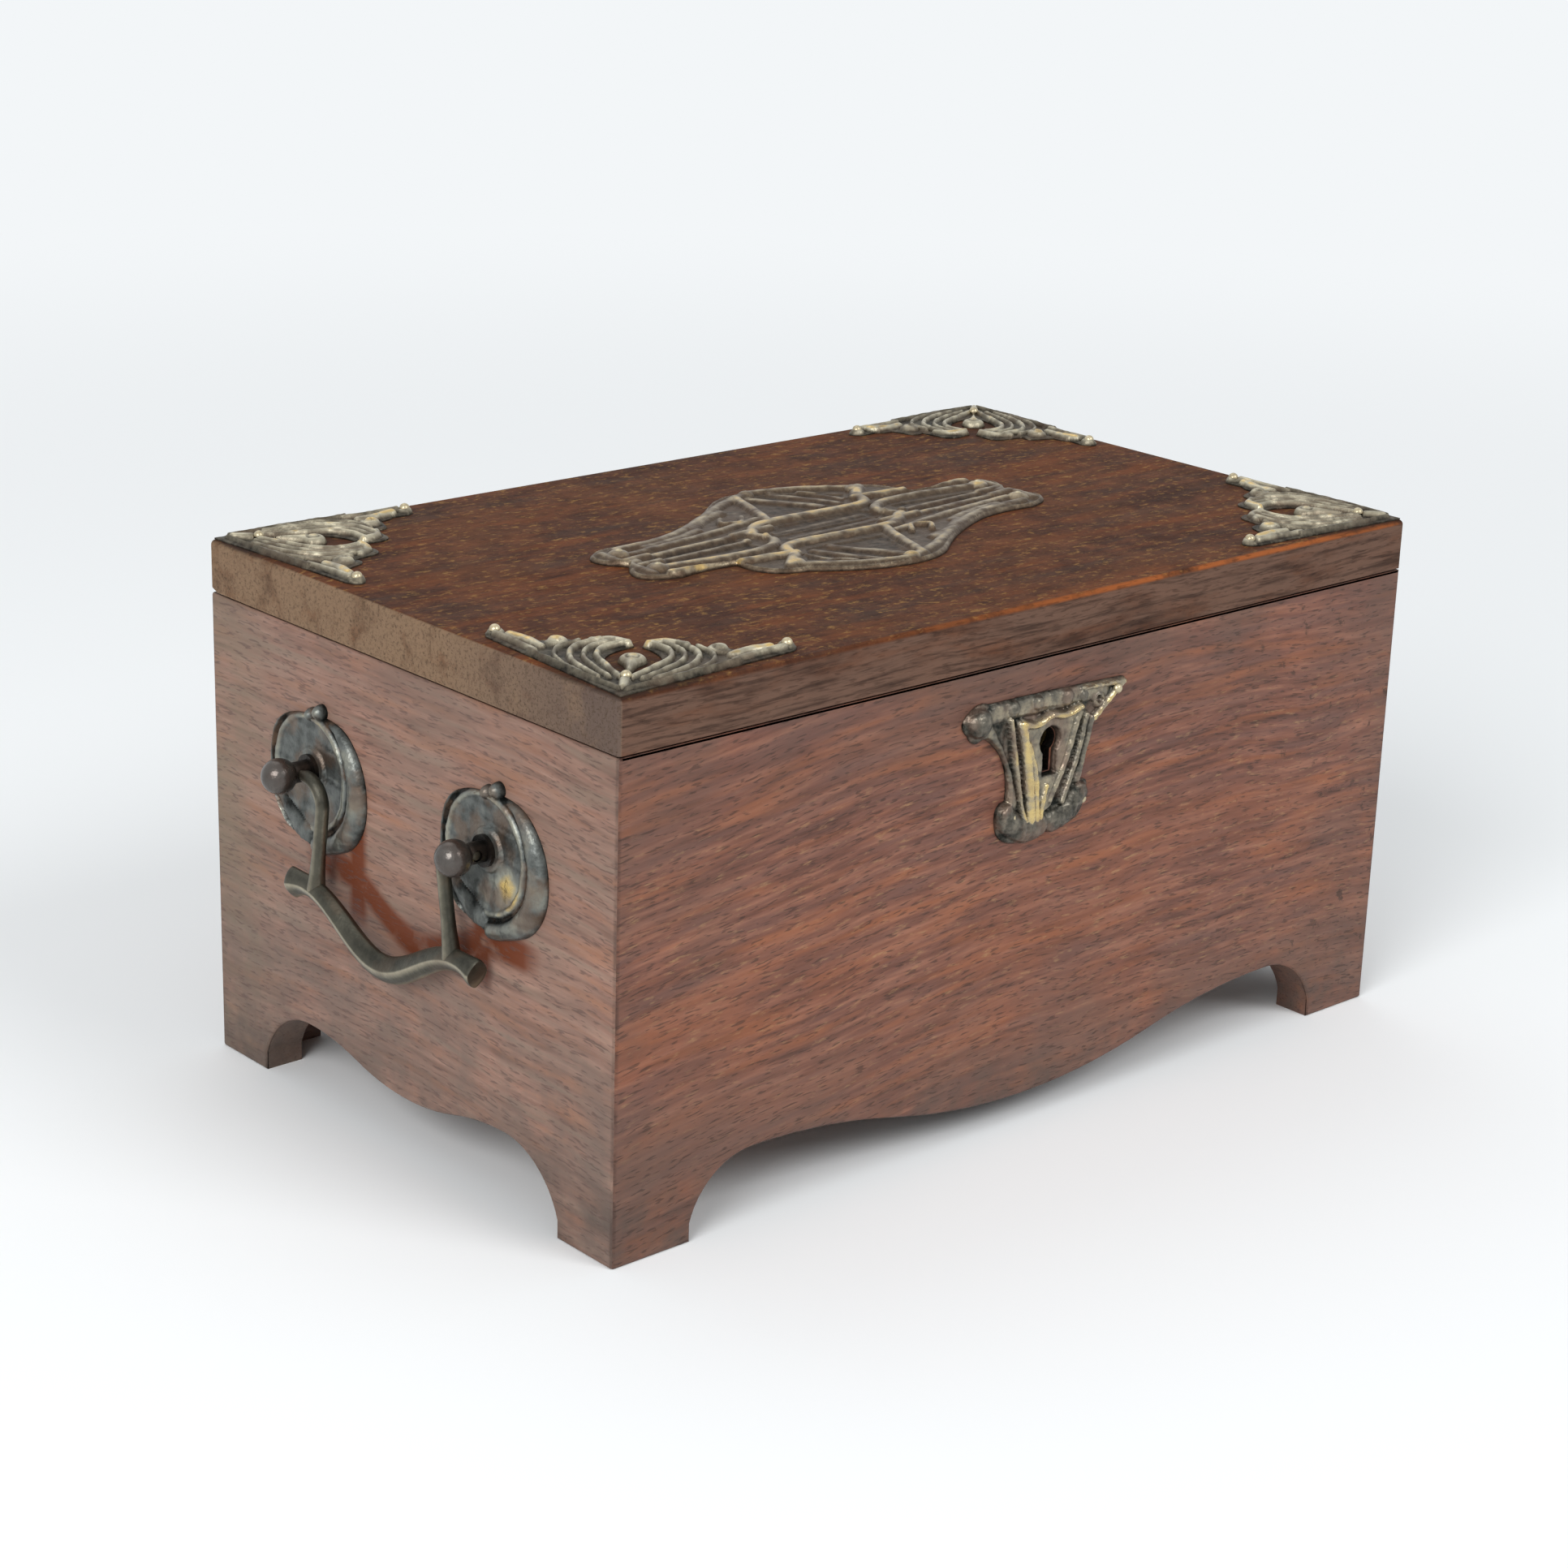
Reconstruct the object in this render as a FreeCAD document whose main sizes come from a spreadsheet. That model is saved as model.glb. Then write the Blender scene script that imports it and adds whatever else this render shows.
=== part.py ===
import FreeCAD, Part
import math
import os
import Sketcher

# A small wooden box with bracket feet, a hinged lid, brass mounts, two bail handles and a lock.
# Sizes are in millimetres. X runs along the front, Y from front to back, Z up; the box stands on Z = 0.

document = FreeCAD.newDocument("BrassMountedBox")
sheet = document.addObject("Spreadsheet::Sheet", "Sizes")
size_names = []


class Size:
    """A size of the sheet, or one worked out from several, with the expression that gives it."""

    def __init__(self, text):
        self.text = text
        self.known = None

    @property
    def value(self):
        if self.known is None:
            self.known = float(sheet.evalExpression(self.text))
        return self.known

    def __add__(self, other):
        return Size(f"({self.text} + {text_of(other)})")

    def __radd__(self, other):
        return Size(f"({text_of(other)} + {self.text})")

    def __sub__(self, other):
        return Size(f"({self.text} - {text_of(other)})")

    def __rsub__(self, other):
        return Size(f"({text_of(other)} - {self.text})")

    def __mul__(self, other):
        return Size(f"({self.text} * {text_of(other)})")

    def __rmul__(self, other):
        return Size(f"({text_of(other)} * {self.text})")

    def __truediv__(self, other):
        return Size(f"({self.text} / {text_of(other)})")

    def __neg__(self):
        return Size(f"(0 - {self.text})")


def text_of(amount):
    return amount.text if isinstance(amount, Size) else f"{float(amount):.9f}"


def as_size(amount):
    return amount if isinstance(amount, Size) else Size(text_of(amount))


def size(name, number):
    """Writes one driving size into the sheet."""
    size_names.append(name)
    row = len(size_names)
    sheet.set(f"A{row}", name)
    sheet.set(f"B{row}", str(number))
    sheet.setAlias(f"B{row}", name)
    return Size(f"Sizes.{name}")


def larger(one, other):
    return Size(f"max({one.text}; {other.text})")


def root(square):
    return Size(f"sqrt({square.text})")


def level_bow(rise, run):
    """The bow of an arc that leaves one end of its chord level."""
    return Size(f"(tan(atan({rise.text} / {run.text}) / 2) / 2)")


# Case of four mitred boards
case_length = size("case_length", 234.0)
case_depth = size("case_depth", 143.0)
case_height = size("case_height", 108.0)
board = size("board_thickness", 9.5)
foot_step = size("foot_step", 4.2)
front_foot = size("front_foot_width", 20.4)
front_peak_in = size("front_peak_from_end", 37.0)
front_peak = size("front_peak_height", 16.8)
front_low = size("front_apron_height", 6.8)
end_foot = size("end_foot_width", 18.1)
end_peak_in = size("end_peak_from_edge", 36.0)
end_peak = size("end_peak_height", 17.0)
end_low = size("end_apron_height", 12.0)

# Floor board in its groove
floor_thickness = size("floor_thickness", 6.0)
floor_rise = size("floor_above_arch", 3.0)
groove_depth = size("floor_groove_depth", 4.0)
groove_fit = size("floor_groove_clearance", 0.15)

# Lid
lid_thickness = size("lid_thickness", 11.6)
lid_seam = size("lid_seam", 0.4)
lid_round = size("lid_edge_radius", 1.2)
bevel_depth = size("lid_bevel_depth", 2.9)
bevel_rise = size("lid_bevel_rise", 1.0)

# Hinges
hinge_from_end = size("hinge_middle_from_case_end", 47.0)
hinge_length = size("hinge_length", 38.0)
hinge_out = size("hinge_axis_behind_case", 0.15)
leaf_width = size("leaf_width", 8.4)
leaf = size("leaf_thickness", 1.1)
leaf_gap = size("leaf_gap", 0.2)
knuckle = size("knuckle_radius", 2.2)
hinge_pin = size("hinge_pin_radius", 1.1)
pin_fit = size("hinge_pin_clearance", 0.05)
knuckle_gap = size("knuckle_gap", 0.3)
knuckle_play = size("knuckle_end_play", 0.1)
pin_end = size("hinge_pin_projection", 0.5)
leaf_fit = size("leaf_mortise_clearance", 0.1)
hinge_screw_at = size("hinge_screw_from_middle", 12.0)
hinge_screw_in = size("hinge_screw_from_axis", 5.1)

# Countersunk screws
screw_head = size("screw_head_radius", 2.1)
screw_shank = size("screw_shank_radius", 1.1)
screw_length = size("screw_length", 7.0)
screw_fit = size("screw_clearance", 0.05)

# Lock, its plate let into the inner face of the front board
keyhole_below_top = size("keyhole_below_top", 18.8)
keyhole_radius = size("keyhole_radius", 2.7)
keyhole_slot = size("keyhole_slot_width", 2.7)
keyhole_drop = size("keyhole_drop", 7.2)
plate_width = size("lock_plate_width", 54.0)
plate_height = size("lock_plate_height", 29.0)
plate = size("lock_plate_thickness", 1.2)
cover_width = size("lock_cover_width", 40.0)
cover_depth = size("lock_cover_depth", 5.6)
cover_wall = size("lock_cover_wall", 0.8)
cover_foot = size("lock_cover_above_plate_foot", 1.5)
selvedge_depth = size("selvedge_depth", 7.9)
lock_fit = size("lock_mortise_clearance", 0.2)
lock_screw_drop = size("lock_screw_below_top", 14.0)
key_post_radius = size("key_post_radius", 1.2)
stud_radius = size("bolt_stud_radius", 1.0)
left_stud_at = size("left_stud_from_middle", -6.5)
right_stud_at = size("right_stud_from_middle", 9.5)
stud_fit = size("bolt_stud_clearance", 0.3)
bolt_throw = size("bolt_throw", 4.4)
bolt_bar = size("bolt_bar_height", 4.4)
bolt_drop = size("bolt_bar_below_staple", 0.6)
bolt_fit = size("bolt_side_clearance", 0.3)
bolt_end = size("bolt_end_wall", 1.7)
talon_half = size("talon_half_width", 2.6)
talon_rise = size("talon_height", 2.0)
tongue_length = size("tongue_length", 4.9)
tongue_height = size("tongue_height", 2.6)
tongue_width = size("tongue_width", 1.2)
tongue_gap = size("tongue_rest_gap", 0.6)
finger_width = size("bolt_finger_width", 3.0)

# Link plate with its staples under the lid
link_length = size("link_plate_length", 52.0)
link = size("link_plate_thickness", 1.2)
link_screw_at = size("link_screw_from_middle", 21.0)
staple_at = size("staple_from_middle", 9.0)
staple_thickness = size("staple_thickness", 2.0)
staple_width = size("staple_width", 3.4)
staple_length = size("staple_length", 9.4)
staple_sill = size("staple_sill", 1.5)
eye_fit = size("staple_eye_clearance", 0.3)
slot_fit = size("staple_slot_clearance", 0.55)

# Bail handles
post_half = size("post_from_middle", 31.25)
post_below_top = size("post_below_top", 29.8)
shank = size("post_shank_radius", 1.9)
shank_fit = size("post_shank_clearance", 0.1)
collar_radius = size("post_collar_radius", 3.4)
collar_height = size("post_collar_height", 0.9)
neck_radius = size("post_neck_radius", 2.3)
ball_radius = size("post_ball_radius", 3.9)
ball_stand = size("post_ball_stand", 9.4)
nut_radius = size("nut_corner_radius", 3.8)
nut_height = size("nut_height", 3.0)
shank_end = size("post_shank_projection", 0.8)
bail_stand = size("bail_axis_stand", 5.0)
peg_radius = size("bail_peg_radius", 1.1)
peg_fit = size("bail_peg_clearance", 0.08)
peg_reach = size("bail_peg_past_middle", 1.9)
shoulder_gap = size("bail_shoulder_gap", 0.8)
arm_radius = size("bail_arm_radius", 1.55)
arm_run = size("bail_arm_straight", 1.0)
arm_bend = size("bail_arm_bend_radius", 5.5)
arm_splay = size("bail_arm_splay", 2.9)
grip_low = size("grip_low_drop", 34.2)
grip_crest = size("grip_crest_drop", 24.6)
grip_tip = size("grip_tip_drop", 28.4)
crest_half = size("grip_crest_from_middle", 28.0)
tip_half = size("grip_tip_from_middle", 36.6)
grip_radius = size("grip_middle_radius", 2.75)
crest_radius = size("grip_crest_radius", 2.25)
tip_radius = size("grip_tip_radius", 2.9)

# Back plates under the posts
rim_radius = size("back_plate_rim_radius", 16.6)
rim_right = size("back_plate_rim_offset", 1.0)
rim_below = size("back_plate_rim_below_post", 3.2)
rim_height = size("back_plate_rim_height", 2.4)
hollow_radius = size("back_plate_hollow_radius", 14.4)
hollow_left = size("back_plate_hollow_offset", 2.4)
hollow_below = size("back_plate_hollow_below_post", 2.6)
dish_radius = size("back_plate_dish_radius", 13.2)
dish_edge = size("back_plate_dish_edge", 1.2)
dish_floor = size("back_plate_dish_floor", 0.8)
bead_width = size("back_plate_bead_width", 1.8)
bead_height = size("back_plate_bead_height", 0.8)
plate_boss = size("back_plate_boss_height", 1.6)
plate_boss_radius = size("back_plate_boss_radius", 4.6)
curl_radius = size("back_plate_curl_radius", 5.0)
finial_radius = size("back_plate_finial_radius", 1.7)
finial_height = size("back_plate_finial_height", 2.6)
finial_spread = size("back_plate_finial_spread", 1.6)
finial_out = size("back_plate_finial_past_rim", 0.8)

# Escutcheon
shield_half = size("escutcheon_half_width", 23.4)
shield_top = size("escutcheon_above_keyhole", 11.1)
shield_drop = size("escutcheon_below_keyhole", 21.8)
shield = size("escutcheon_thickness", 1.3)
shield_relief = size("escutcheon_relief", 0.9)
shield_rim = size("escutcheon_rim_width", 1.7)
panel_half = size("escutcheon_panel_half_width", 9.6)
panel_top = size("escutcheon_panel_above_keyhole", 6.2)
panel_drop = size("escutcheon_panel_below_keyhole", 17.6)
knob_radius = size("escutcheon_knob_radius", 2.2)

# Mounts on the lid
corner_leg = size("corner_mount_leg", 47.7)
corner_inset = size("corner_mount_inset", 3.0)
corner = size("corner_mount_thickness", 1.2)
corner_relief = size("corner_mount_relief", 0.8)
scroll_radius = size("corner_scroll_radius", 2.4)
scroll_height = size("corner_scroll_height", 2.4)
bud_radius = size("corner_bud_radius", 4.0)
bud_height = size("corner_bud_height", 2.8)
bud_in = size("corner_bud_from_corner", 17.0)
bud_stem = size("corner_bud_stem_width", 3.2)
centre_half = size("centre_mount_half_length", 63.0)
centre_wide = size("centre_mount_half_width", 33.6)
centre = size("centre_mount_thickness", 1.2)
centre_relief = size("centre_mount_relief", 0.8)
field_rim = size("centre_field_rim_width", 2.2)

# Round-headed pins
pin_head = size("mount_pin_head_radius", 1.2)
pin_shank = size("mount_pin_shank_radius", 0.6)
pin_length = size("mount_pin_length", 6.0)
tack_length = size("escutcheon_pin_length", 2.2)
mount_pin_fit = size("mount_pin_clearance", 0.05)

document.recompute()

half_length = case_length / 2
hinge_at = half_length - hinge_from_end
half_depth = case_depth / 2
floor_height = larger(front_peak, end_peak) + floor_rise
seam_level = case_height + lid_seam / 2
lid_level = case_height + lid_seam
lid_top = lid_level + lid_thickness
keyhole_height = case_height - keyhole_below_top
post_height = case_height - post_below_top

UPRIGHT = FreeCAD.Rotation(FreeCAD.Vector(1, 0, 0), 90)


def faced(quarters):
    """An upright piece turned by quarter turns, so that it faces the front, right, back or left."""
    return FreeCAD.Rotation(FreeCAD.Vector(0, 0, 1), 90 * quarters).multiply(UPRIGHT)


FRONT = faced(0)
RIGHT = faced(1)
BACK = faced(2)
LEFT = faced(-1)
LEVEL = FreeCAD.Rotation()


def place(thing, x, y, z, turn=LEVEL):
    """Sets a piece's place, tied to the sheet, and its turn."""
    thing.Placement = FreeCAD.Placement(FreeCAD.Vector(0, 0, 0), turn)
    for axis, amount in (("x", x), ("y", y), ("z", z)):
        thing.setExpression(f"Placement.Base.{axis}", text_of(amount))


def new_body(label):
    body = document.addObject("PartDesign::Body", label)
    body.Label = label
    return body


def origin_plane(body, role):
    return next(item for item in body.Origin.OriginFeatures if item.Role == role)


def new_sketch(body, name, role="XY_Plane", offset=None):
    """A sketch on one of the body's own planes, or parallel to it."""
    sketch = body.newObject("Sketcher::SketchObject", f"{body.Label}_{name}")
    sketch.AttachmentSupport = [(origin_plane(body, role), "")]
    sketch.MapMode = "FlatFace"
    if offset is not None:
        sketch.setExpression("AttachmentOffset.Base.z", text_of(offset))
    return sketch


def tie_point(sketch, geometry, position, x, y):
    """Ties one point of a sketch to its two distances from the sketch's origin."""
    for kind, axis, amount in (("DistanceX", -2, x), ("DistanceY", -1, y)):
        if abs(amount.value) < 1e-9:
            sketch.addConstraint(Sketcher.Constraint("PointOnObject", geometry, position, axis))
            continue
        ends = (-1, 1, geometry, position) if amount.value > 0 else (geometry, position, -1, 1)
        far = amount if amount.value > 0 else -amount
        number = sketch.addConstraint(Sketcher.Constraint(kind, *ends, far.value))
        sketch.setExpression(f"Constraints[{number}]", far.text)


def flat(x, y):
    return FreeCAD.Vector(x.value, y.value, 0)


def draw_sides(sketch, points, closed):
    """Draws straight sides and arcs through points and ties each point to the sheet.

    A point is (x, y) before a straight side, or (x, y, bow) before an arc whose middle stands off the chord by
    that share of its length, to the left where bow is positive.
    """
    spots = [(as_size(point[0]), as_size(point[1])) for point in points]
    bows = [point[2] if len(point) > 2 else None for point in points]
    sides = []
    for number in range(len(spots) if closed else len(spots) - 1):
        (x0, y0), (x1, y1) = spots[number], spots[(number + 1) % len(spots)]
        bow = bows[number]
        start, end = flat(x0, y0), flat(x1, y1)
        if bow is None:
            side = sketch.addGeometry(Part.LineSegment(start, end), False)
        else:
            middle_x = (x0 + x1) / 2 - (y1 - y0) * bow
            middle_y = (y0 + y1) / 2 + (x1 - x0) * bow
            middle = flat(middle_x, middle_y)
            side = sketch.addGeometry(Part.Arc(start, middle, end), False)
            crown = sketch.addGeometry(Part.Point(middle), True)
            tie_point(sketch, crown, 1, middle_x, middle_y)
            sketch.addConstraint(Sketcher.Constraint("PointOnObject", crown, 1, side))
        near = sketch.getPoint(side, 1).distanceToPoint(start)
        far = sketch.getPoint(side, 2).distanceToPoint(start)
        first = 1 if near < far else 2
        sides.append((side, first, 3 - first))
    for number, (side, first, last) in enumerate(sides):
        tie_point(sketch, side, first, *spots[number])
        if closed or number + 1 < len(sides):
            following = sides[(number + 1) % len(sides)]
            sketch.addConstraint(Sketcher.Constraint("Coincident", side, last, following[0], following[1]))
    if not closed:
        tie_point(sketch, sides[-1][0], sides[-1][2], *spots[-1])


def outline(sketch, points):
    draw_sides(sketch, points, True)


def same_spot(one, other):
    return all(abs(as_size(a).value - as_size(b).value) < 1e-9 for a, b in zip(one[:2], other[:2]))


def doubled(path, reflect):
    """A path followed by its mirror image, taken backwards; an end on the mirror is used once."""
    image = [reflect(*point[:2]) + tuple(path[number - 1][2:] if number else ()) for number, point in enumerate(path)]
    image.reverse()
    start = path[:-1] if same_spot(image[0], path[-1]) else path
    if same_spot(image[-1], path[0]):
        image.pop()
    return start + image


def across_upright(x, y):
    return -x, y


def across_diagonal(x, y):
    return y, x


def rectangle(sketch, left, right, bottom, top):
    outline(sketch, [(left, bottom), (right, bottom), (right, top), (left, top)])


def circle(sketch, x, y, radius):
    """Draws a circle with its centre and radius tied to the sheet."""
    x, y = as_size(x), as_size(y)
    ring = sketch.addGeometry(Part.Circle(flat(x, y), FreeCAD.Vector(0, 0, 1), radius.value), False)
    tie_point(sketch, ring, 3, x, y)
    number = sketch.addConstraint(Sketcher.Constraint("Radius", ring, radius.value))
    sketch.setExpression(f"Constraints[{number}]", radius.text)


def volume_of(body):
    return body.Shape.Volume if body.Tip else 0.0


NO_VOLUME = 1e-6


def finish_feature(body, feature, before, adds):
    """Recomputes a feature and makes sure that it added or removed material."""
    body.Tip = feature
    document.recompute([body])
    change = body.Shape.Volume - before
    if change <= NO_VOLUME if adds else change >= -NO_VOLUME:
        raise RuntimeError(f"{feature.Label} left {body.Label} with a change of {change:.4f} mm3")
    return feature


def extrude(kind, body, sketch, length, reverse, symmetric):
    before = volume_of(body)
    feature = body.newObject(f"PartDesign::{kind}", sketch.Name + "_" + kind)
    feature.Profile = sketch
    if length is None:
        feature.Type = "ThroughAll"
    else:
        feature.setExpression("Length", text_of(length))
    if symmetric:
        feature.SideType = "Symmetric"
    feature.Reversed = reverse
    return finish_feature(body, feature, before, kind == "Pad")


def pad(body, sketch, length, reverse=False, symmetric=False):
    return extrude("Pad", body, sketch, length, reverse, symmetric)


def pocket(body, sketch, length=None, reverse=False, symmetric=False):
    return extrude("Pocket", body, sketch, length, reverse, symmetric)


def revolve(body, sketch):
    """Turns a profile round the sketch's upright axis."""
    before = volume_of(body)
    feature = body.newObject("PartDesign::Revolution", sketch.Name + "_Turned")
    feature.Profile = sketch
    feature.ReferenceAxis = (sketch, ["V_Axis"])
    feature.Angle = 360
    return finish_feature(body, feature, before, True)


def dome(body, name, x, y, z, radius, height):
    """Adds a half ellipsoid that stands on the level z."""
    before = volume_of(body)
    feature = body.newObject("PartDesign::AdditiveEllipsoid", f"{body.Label}_{name}")
    feature.Angle1 = 0
    feature.setExpression("Radius1", text_of(height))
    feature.setExpression("Radius2", text_of(radius))
    feature.setExpression("Radius3", text_of(radius))
    place(feature, x, y, z)
    return finish_feature(body, feature, before, True)


def countersink(body, name, x, y, z, turn):
    """Sinks a screw's head into a plate from the level z; the cone narrows along its own Z axis."""
    before = volume_of(body)
    feature = body.newObject("PartDesign::SubtractiveCone", f"{body.Label}_{name}")
    feature.setExpression("Radius1", (screw_head + screw_fit).text)
    feature.setExpression("Radius2", (screw_shank + screw_fit).text)
    feature.setExpression("Height", (screw_head - screw_shank).text)
    place(feature, x, y, z, turn)
    return finish_feature(body, feature, before, False)


def edges_at(shape, test):
    """Names of the edges whose two ends, and middle, pass the test."""
    names = []
    for number, edge in enumerate(shape.Edges, 1):
        middle = edge.valueAt((edge.FirstParameter + edge.LastParameter) / 2)
        if all(test(spot) for spot in [vertex.Point for vertex in edge.Vertexes] + [middle]):
            names.append(f"Edge{number}")
    return names


def simple(kind, name, **amounts):
    """A plain solid with its sizes tied to the sheet."""
    solid = document.addObject(f"Part::{kind}", name)
    for amount, value in amounts.items():
        solid.setExpression(amount, text_of(value))
    return solid


def joined(kind, name, first, second):
    result = document.addObject(f"Part::{kind}", name)
    result.Base = first
    result.Tool = second
    return result


def set_of(label, pieces):
    """Gathers identical fasteners under one label."""
    group = document.addObject("Part::Compound", label)
    group.Label = label
    group.Links = pieces
    return group


def countersunk_screw(name, x, y, z, turn):
    """A screw whose flat head lies at its own Z = 0 and whose shank runs along its own Z."""
    head = simple("Cone", f"{name}_head", Radius1=screw_head, Radius2=screw_shank, Height=screw_head - screw_shank)
    stem = simple("Cylinder", f"{name}_shank", Radius=screw_shank, Height=screw_length)
    screw = joined("Fuse", name, head, stem)
    place(screw, x, y, z, turn)
    return screw


def round_pin(name, x, y, z, turn, through):
    """A round-headed pin that stands on its own Z = 0, with its shank below."""
    head = simple("Sphere", f"{name}_head", Radius=pin_head)
    head.Angle1 = 0
    stem = simple("Cylinder", f"{name}_shank", Radius=pin_shank, Height=through)
    stem.setExpression("Placement.Base.z", (-through).text)
    pin = joined("Fuse", name, head, stem)
    place(pin, x, y, z, turn)
    return pin


def keyhole(sketch, level):
    """A round hole with a straight slot below it, round the level of the hole's centre."""
    half = keyhole_slot / 2
    shoulder = root(keyhole_radius * keyhole_radius - half * half)
    crown = (keyhole_radius + shoulder) / keyhole_slot
    outline(sketch, [
        (-half, level - shoulder, crown),
        (half, level - shoulder),
        (half, level - keyhole_drop),
        (-half, level - keyhole_drop),
    ])


# The four boards. Each is drawn in its own elevation, with the outer face at its own Z = 0.


def apron_board(label, length, foot, peak_in, peak, low):
    """A mitred board with two bracket feet and a double-curved lower edge, grooved for the floor."""
    body = new_body(label)
    half = length / 2
    foot_in = half - foot
    peak_at = half - peak_in
    knee = peak_at / 2
    knee_level = (peak + low) / 2
    arch = level_bow(peak - foot_step, foot_in - peak_at)
    swell = level_bow(peak - knee_level, peak_at - knee)
    face = new_sketch(body, "face")
    outline(face, doubled([
        (-half, case_height),
        (-half, 0),
        (-foot_in, 0),
        (-foot_in, foot_step, arch),
        (-peak_at, peak, swell),
        (-knee, knee_level, -swell),
        (0, low),
    ], across_upright))
    pad(body, face, board, reverse=True)
    for name, end in (("left_mitre", -half), ("right_mitre", half)):
        inner = end + board if name == "left_mitre" else end - board
        mitre = new_sketch(body, name, "XZ_Plane")
        outline(mitre, [(end, 0), (end, -board), (inner, -board)])
        pocket(body, mitre, symmetric=True)
    groove = new_sketch(body, "groove", "YZ_Plane")
    rectangle(groove, floor_height, floor_height + floor_thickness + groove_fit, -board, groove_depth - board)
    pocket(body, groove, symmetric=True)
    return body


def front_board():
    """The front board with its keyhole and the mortise of the lock."""
    body = apron_board("front_board", case_length, front_foot, front_peak_in, front_peak, front_low)
    hole = new_sketch(body, "keyhole")
    keyhole(hole, keyhole_height)
    pocket(body, hole, symmetric=True)
    plate_half = plate_width / 2 + lock_fit
    cover_half = cover_width / 2 + lock_fit
    plate_foot = case_height - plate_height - lock_fit
    bed = new_sketch(body, "plate_bed", offset=-board)
    rectangle(bed, -plate_half, plate_half, plate_foot, case_height)
    pocket(body, bed, plate, reverse=True)
    mortise = new_sketch(body, "cover_mortise", offset=-board)
    rectangle(mortise, -cover_half, cover_half, plate_foot + cover_foot, case_height)
    pocket(body, mortise, plate + cover_depth + lock_fit, reverse=True)
    rebate = new_sketch(body, "selvedge_rebate", "XZ_Plane", offset=-case_height)
    rectangle(rebate, -plate_half, plate_half, -board, selvedge_depth + lock_fit - board)
    pocket(body, rebate, plate, reverse=True)
    pilots = new_sketch(body, "screw_holes", offset=-board)
    for side in (-1, 1):
        circle(pilots, lock_screw_at * side, case_height - lock_screw_drop, screw_shank + screw_fit)
    pocket(body, pilots, screw_length + screw_fit, reverse=True)
    pin_holes = new_sketch(body, "pin_holes")
    for x, y in shield_pins:
        circle(pin_holes, x, keyhole_height + y, pin_shank + mount_pin_fit)
    pocket(body, pin_holes, tack_length + mount_pin_fit)
    place(body, 0, -half_depth, 0, FRONT)
    return body


def back_board():
    """The back board with the mortises of the two hinges in its upper edge."""
    body = apron_board("back_board", case_length, front_foot, front_peak_in, front_peak, front_low)
    inner = leaf_fit + leaf_width - hinge_out
    beds = new_sketch(body, "leaf_beds", "XZ_Plane", offset=-case_height)
    pilots = new_sketch(body, "screw_holes", "XZ_Plane", offset=-case_height)
    for side in (-1, 1):
        middle = hinge_at * side
        half = hinge_length / 2 + leaf_fit
        rectangle(beds, middle - half, middle + half, -inner, board)
        for screw in (-1, 1):
            circle(pilots, middle + hinge_screw_at * screw, hinge_out - hinge_screw_in, screw_shank + screw_fit)
    pocket(body, beds, leaf_sink, reverse=True)
    pocket(body, pilots, leaf_sink + screw_length, reverse=True)
    for name, side in (("left_cove", -1), ("right_cove", 1)):
        cove = new_sketch(body, name, "YZ_Plane", offset=hinge_at * side)
        circle(cove, seam_level, hinge_out, knuckle + knuckle_gap)
        pocket(body, cove, hinge_length + (pin_end + leaf_fit) * 2, symmetric=True)
    place(body, 0, half_depth, 0, BACK)
    return body


def end_board(label, x, turn):
    """An end board bored for the two posts of its handle."""
    body = apron_board(label, case_depth, end_foot, end_peak_in, end_peak, end_low)
    bores = new_sketch(body, "post_holes")
    for side in (-1, 1):
        circle(bores, post_half * side, post_height, shank + shank_fit)
    pocket(body, bores, symmetric=True)
    place(body, x, 0, 0, turn)
    return body


def floor_board():
    """The floor panel that lies in the grooves of the four boards."""
    body = new_body("floor_board")
    inset = board - groove_depth + groove_fit
    panel = new_sketch(body, "panel")
    rectangle(panel, inset - half_length, half_length - inset, inset - half_depth, half_depth - inset)
    pad(body, panel, floor_thickness)
    place(body, 0, 0, floor_height)
    return body


# Where the pins of the mounts stand, shared by the mounts, the pins and the wood below them.
CORNER_TIP = 0.933
CORNER_TIP_IN = 0.067
CORNER_NOSE = 0.1
CENTRE_EAR_ALONG = 0.865
CENTRE_EAR_ACROSS = 0.2
SHIELD_WING_ALONG = 0.86
SHIELD_WING_UP = 0.72
SHIELD_LOBE_ALONG = 0.46
SHIELD_LOBE_DOWN = 0.7

lock_screw_at = (plate_width + cover_width) / 4
leaf_sink = leaf + leaf_gap / 2 - lid_seam / 2
corner_pins = [
    (corner_leg * CORNER_TIP, corner_leg * CORNER_TIP_IN),
    (corner_leg * CORNER_TIP_IN, corner_leg * CORNER_TIP),
    (corner_leg * CORNER_NOSE, corner_leg * CORNER_NOSE),
]
centre_pins = [
    (centre_half * CENTRE_EAR_ALONG * along, centre_wide * CENTRE_EAR_ACROSS * across)
    for along in (-1, 1) for across in (-1, 1)
]
shield_pins = [(shield_half * SHIELD_WING_ALONG * side, shield_top * SHIELD_WING_UP) for side in (-1, 1)]
shield_pins += [(shield_half * SHIELD_LOBE_ALONG * side, -shield_drop * SHIELD_LOBE_DOWN) for side in (-1, 1)]
corner_x = half_length - corner_inset
corner_y = half_depth - corner_inset
corner_spots = [
    ("front_left", -corner_x, -corner_y, 0),
    ("front_right", corner_x, -corner_y, 1),
    ("back_right", corner_x, corner_y, 2),
    ("back_left", -corner_x, corner_y, 3),
]


def quarter_turned(x, y, quarters):
    for _ in range(quarters):
        x, y = -y, x
    return x, y


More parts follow.
